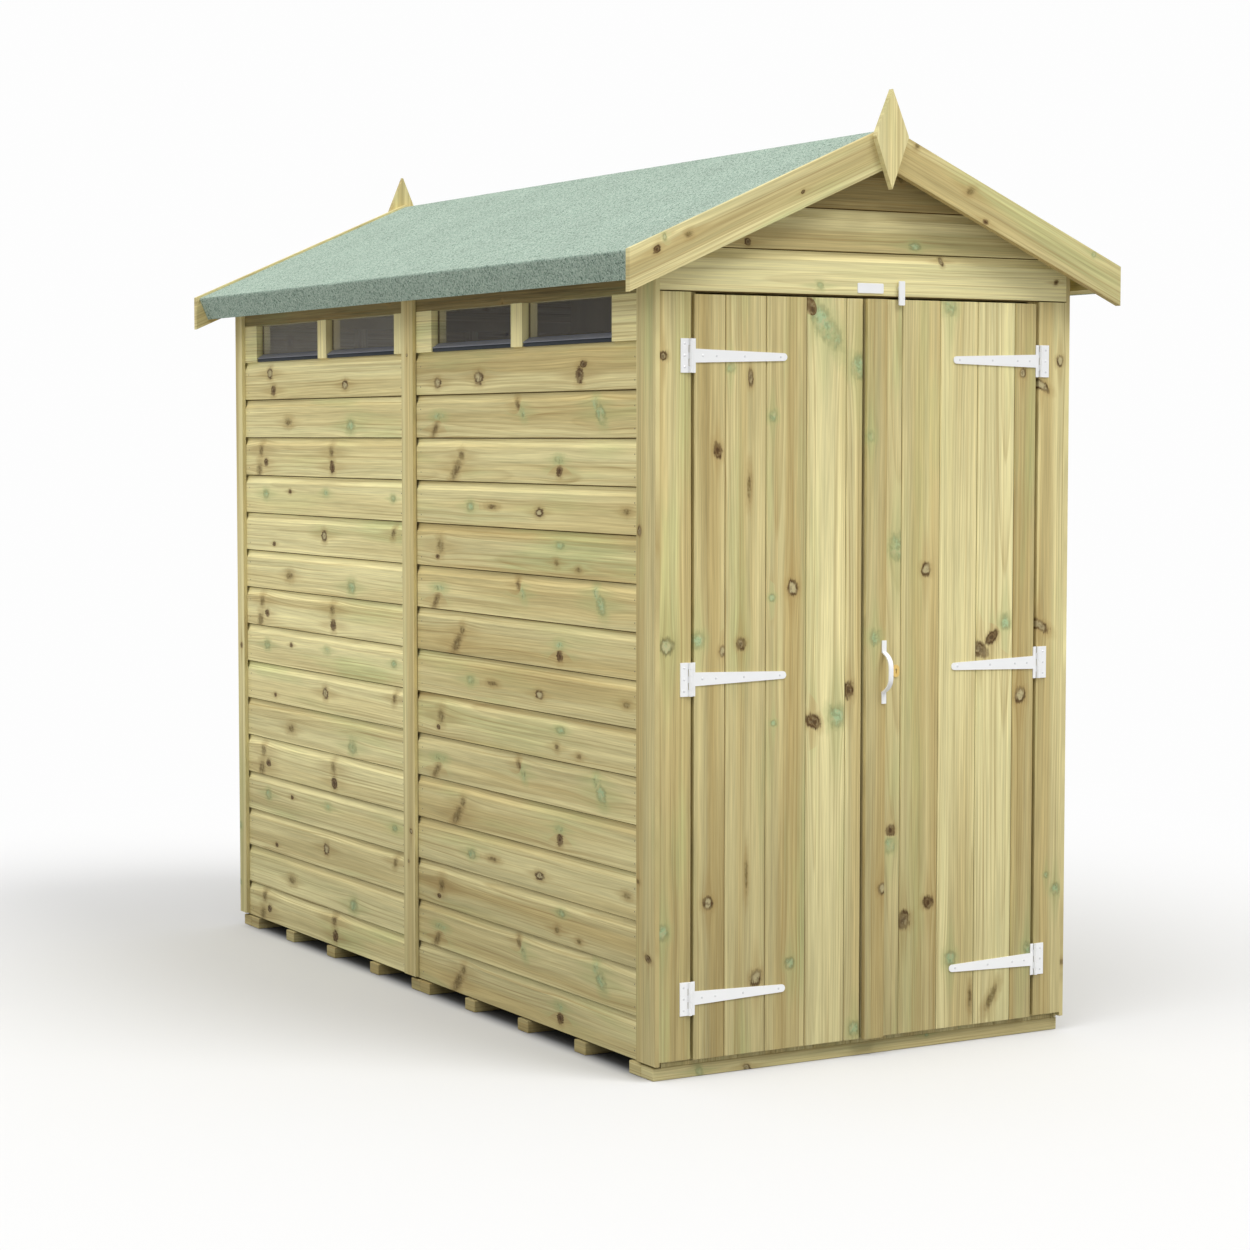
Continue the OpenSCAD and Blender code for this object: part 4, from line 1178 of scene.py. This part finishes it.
# The eave plank is painted dark: painted shade under the roof overhang.
dress("eave_plank", "left_eave_board", out=outward, chance=5, tone=EAVE_SHADE_TONE)
roof_boards("left_roof_boards", -1)
roof_boards("right_roof_boards", 1)
felt_sheet()
dress("fascia_timbers", "eave_fascias", out=outward)
dress("purlin_timbers", "roof_purlins")
dress("front_barge_planks", "front_bargeboards", out=-Y, along=slope_grain, chance=4, tone=BARGE_TONE)
dress("rear_barge_planks", "rear_bargeboards", out=Y, along=slope_grain, chance=4)
dress("front_finial_board", "front_finial", out=-Y, along=Z, chance=0, tone=FINIAL_TONE)
dress("rear_finial_board", "rear_finial", out=Y, along=Z, chance=0)
sill_channels()
glazing("front_glazing", "front_window_panes", FRONT_GLASS)
glazing("rear_glazing", "rear_window_panes", REAR_GLASS)
for word, _ in SIDES:
    fitting(word + "_hinge_leaves", "shed", word + "_hinge_plates", WHITE)
cladding_nails()
blank_plate()

door_boards("left_door_boards", "left_door", LEFT_DOOR_KNOTS, -1, LEFT_FIRST, LEFT_DOOR_TONES)
door_boards("right_door_boards", "right_door", RIGHT_DOOR_KNOTS, 1, RIGHT_FIRST, RIGHT_DOOR_TONES)
for word, side in SIDES:
    dress(word + "_ledge_timbers", word + "_door_ledges", out=Y, along=ledge_grain, body=word + "_door")
    fitting(word + "_hinge_arms", word + "_door", word + "_hinge_straps", WHITE)
    hinge_screws(word, side)
# The meeting board's sides are painted dark: painted shade beside the board.
dress("meeting_board", "meeting_strip", out=-Y, along=-Z, knots=MEETING_KNOTS,
      tone=MEETING_TONE, soil_and_shade=STRIP_SHADE, body="right_door")
fitting("pull_handle", "right_door", "door_handle", WHITE, HANDLE_ARRIS, 3)
fitting("lock_plate", "right_door", "door_lock", BRASS)
fitting("button_arm", "turn_button", "turn_button", WHITE, BUTTON_ARRIS, 3)


# Stage, light and camera


def stage_floor():
    """A pale floor with a painted shadow under the shed, turning into the backdrop further out."""
    bm = bmesh.new()
    corners = [(-1, -1), (1, -1), (1, 1), (-1, 1)]
    bm.faces.new([bm.verts.new((a * FLOOR_HALF, b * FLOOR_HALF, -FLOOR_DROP)) for a, b in corners])
    g = Graph(bpy.data.materials.new("floor"))
    seen = g.seen()
    x, y, _ = g.split(g.place())
    # Painted shadow: the floor under the shed is dark.
    under = 1.0
    for way, half in zip((x, y), UNDER_SHADOW_HALF):
        past = g.smooth(g.math("ABSOLUTE", way), half - UNDER_SHADOW_SOFT, half + UNDER_SHADOW_SOFT)
        under = (1 - past) * under
    colour = g.mix(seen, (FLOOR_BOUNCE,) * 3, (FLOOR_PALE,) * 3)
    g.set(Base_Color=g.mix(under, colour, (UNDER_SHADOW,) * 3), Roughness=0.9)
    glow = g.feed(g.node("ShaderNodeEmission"), Strength=BACKDROP)
    g.blend(g.smooth(g.root(x * x + y * y), FADE_FROM, FADE_TO) * seen, glow)
    floor = bpy.data.objects.new("floor", mesh_from("floor", bm))
    floor.data.materials.append(g.owner)
    bpy.context.scene.collection.objects.link(floor)


def sky():
    """Soft light, stronger from above; the eye, mirrors and glass see a pale backdrop."""
    g = Graph(bpy.data.worlds.new("studio"))
    bpy.context.scene.world = g.owner
    height = g.split(Field(g, g.node("ShaderNodeTexCoord").outputs["Generated"]))[2]
    level = g.largest(height, 0.0) * (SKY_HIGH - SKY_LOW) + SKY_LOW
    g.set(Color=(1.0, 1.0, 1.0), Strength=level)
    backdrop = g.feed(g.node("ShaderNodeBackground"), Color=(1.0, 1.0, 1.0), Strength=BACKDROP)
    g.blend(g.seen(), backdrop)


def sun(name, strength, angle, turn):
    lamp = bpy.data.lights.new(name, "SUN")
    lamp.energy = strength
    lamp.angle = math.radians(angle)
    key = bpy.data.objects.new(name, lamp)
    key.rotation_euler = [math.radians(a) for a in turn]
    bpy.context.scene.collection.objects.link(key)


def camera():
    data = bpy.data.cameras.new("camera")
    data.sensor_width = 36
    data.lens = CAMERA_LENS
    eye = bpy.data.objects.new("camera", data)
    eye.location = CAMERA_PLACE
    eye.rotation_euler = [math.radians(a) for a in CAMERA_TURN]
    bpy.context.scene.collection.objects.link(eye)
    bpy.context.scene.camera = eye


stage_floor()
sky()
sun("key", KEY_STRENGTH, KEY_ANGLE, KEY_TURN)
sun("fill", FILL_STRENGTH, FILL_ANGLE, FILL_TURN)
camera()
bpy.context.scene.view_settings.view_transform = "Standard"
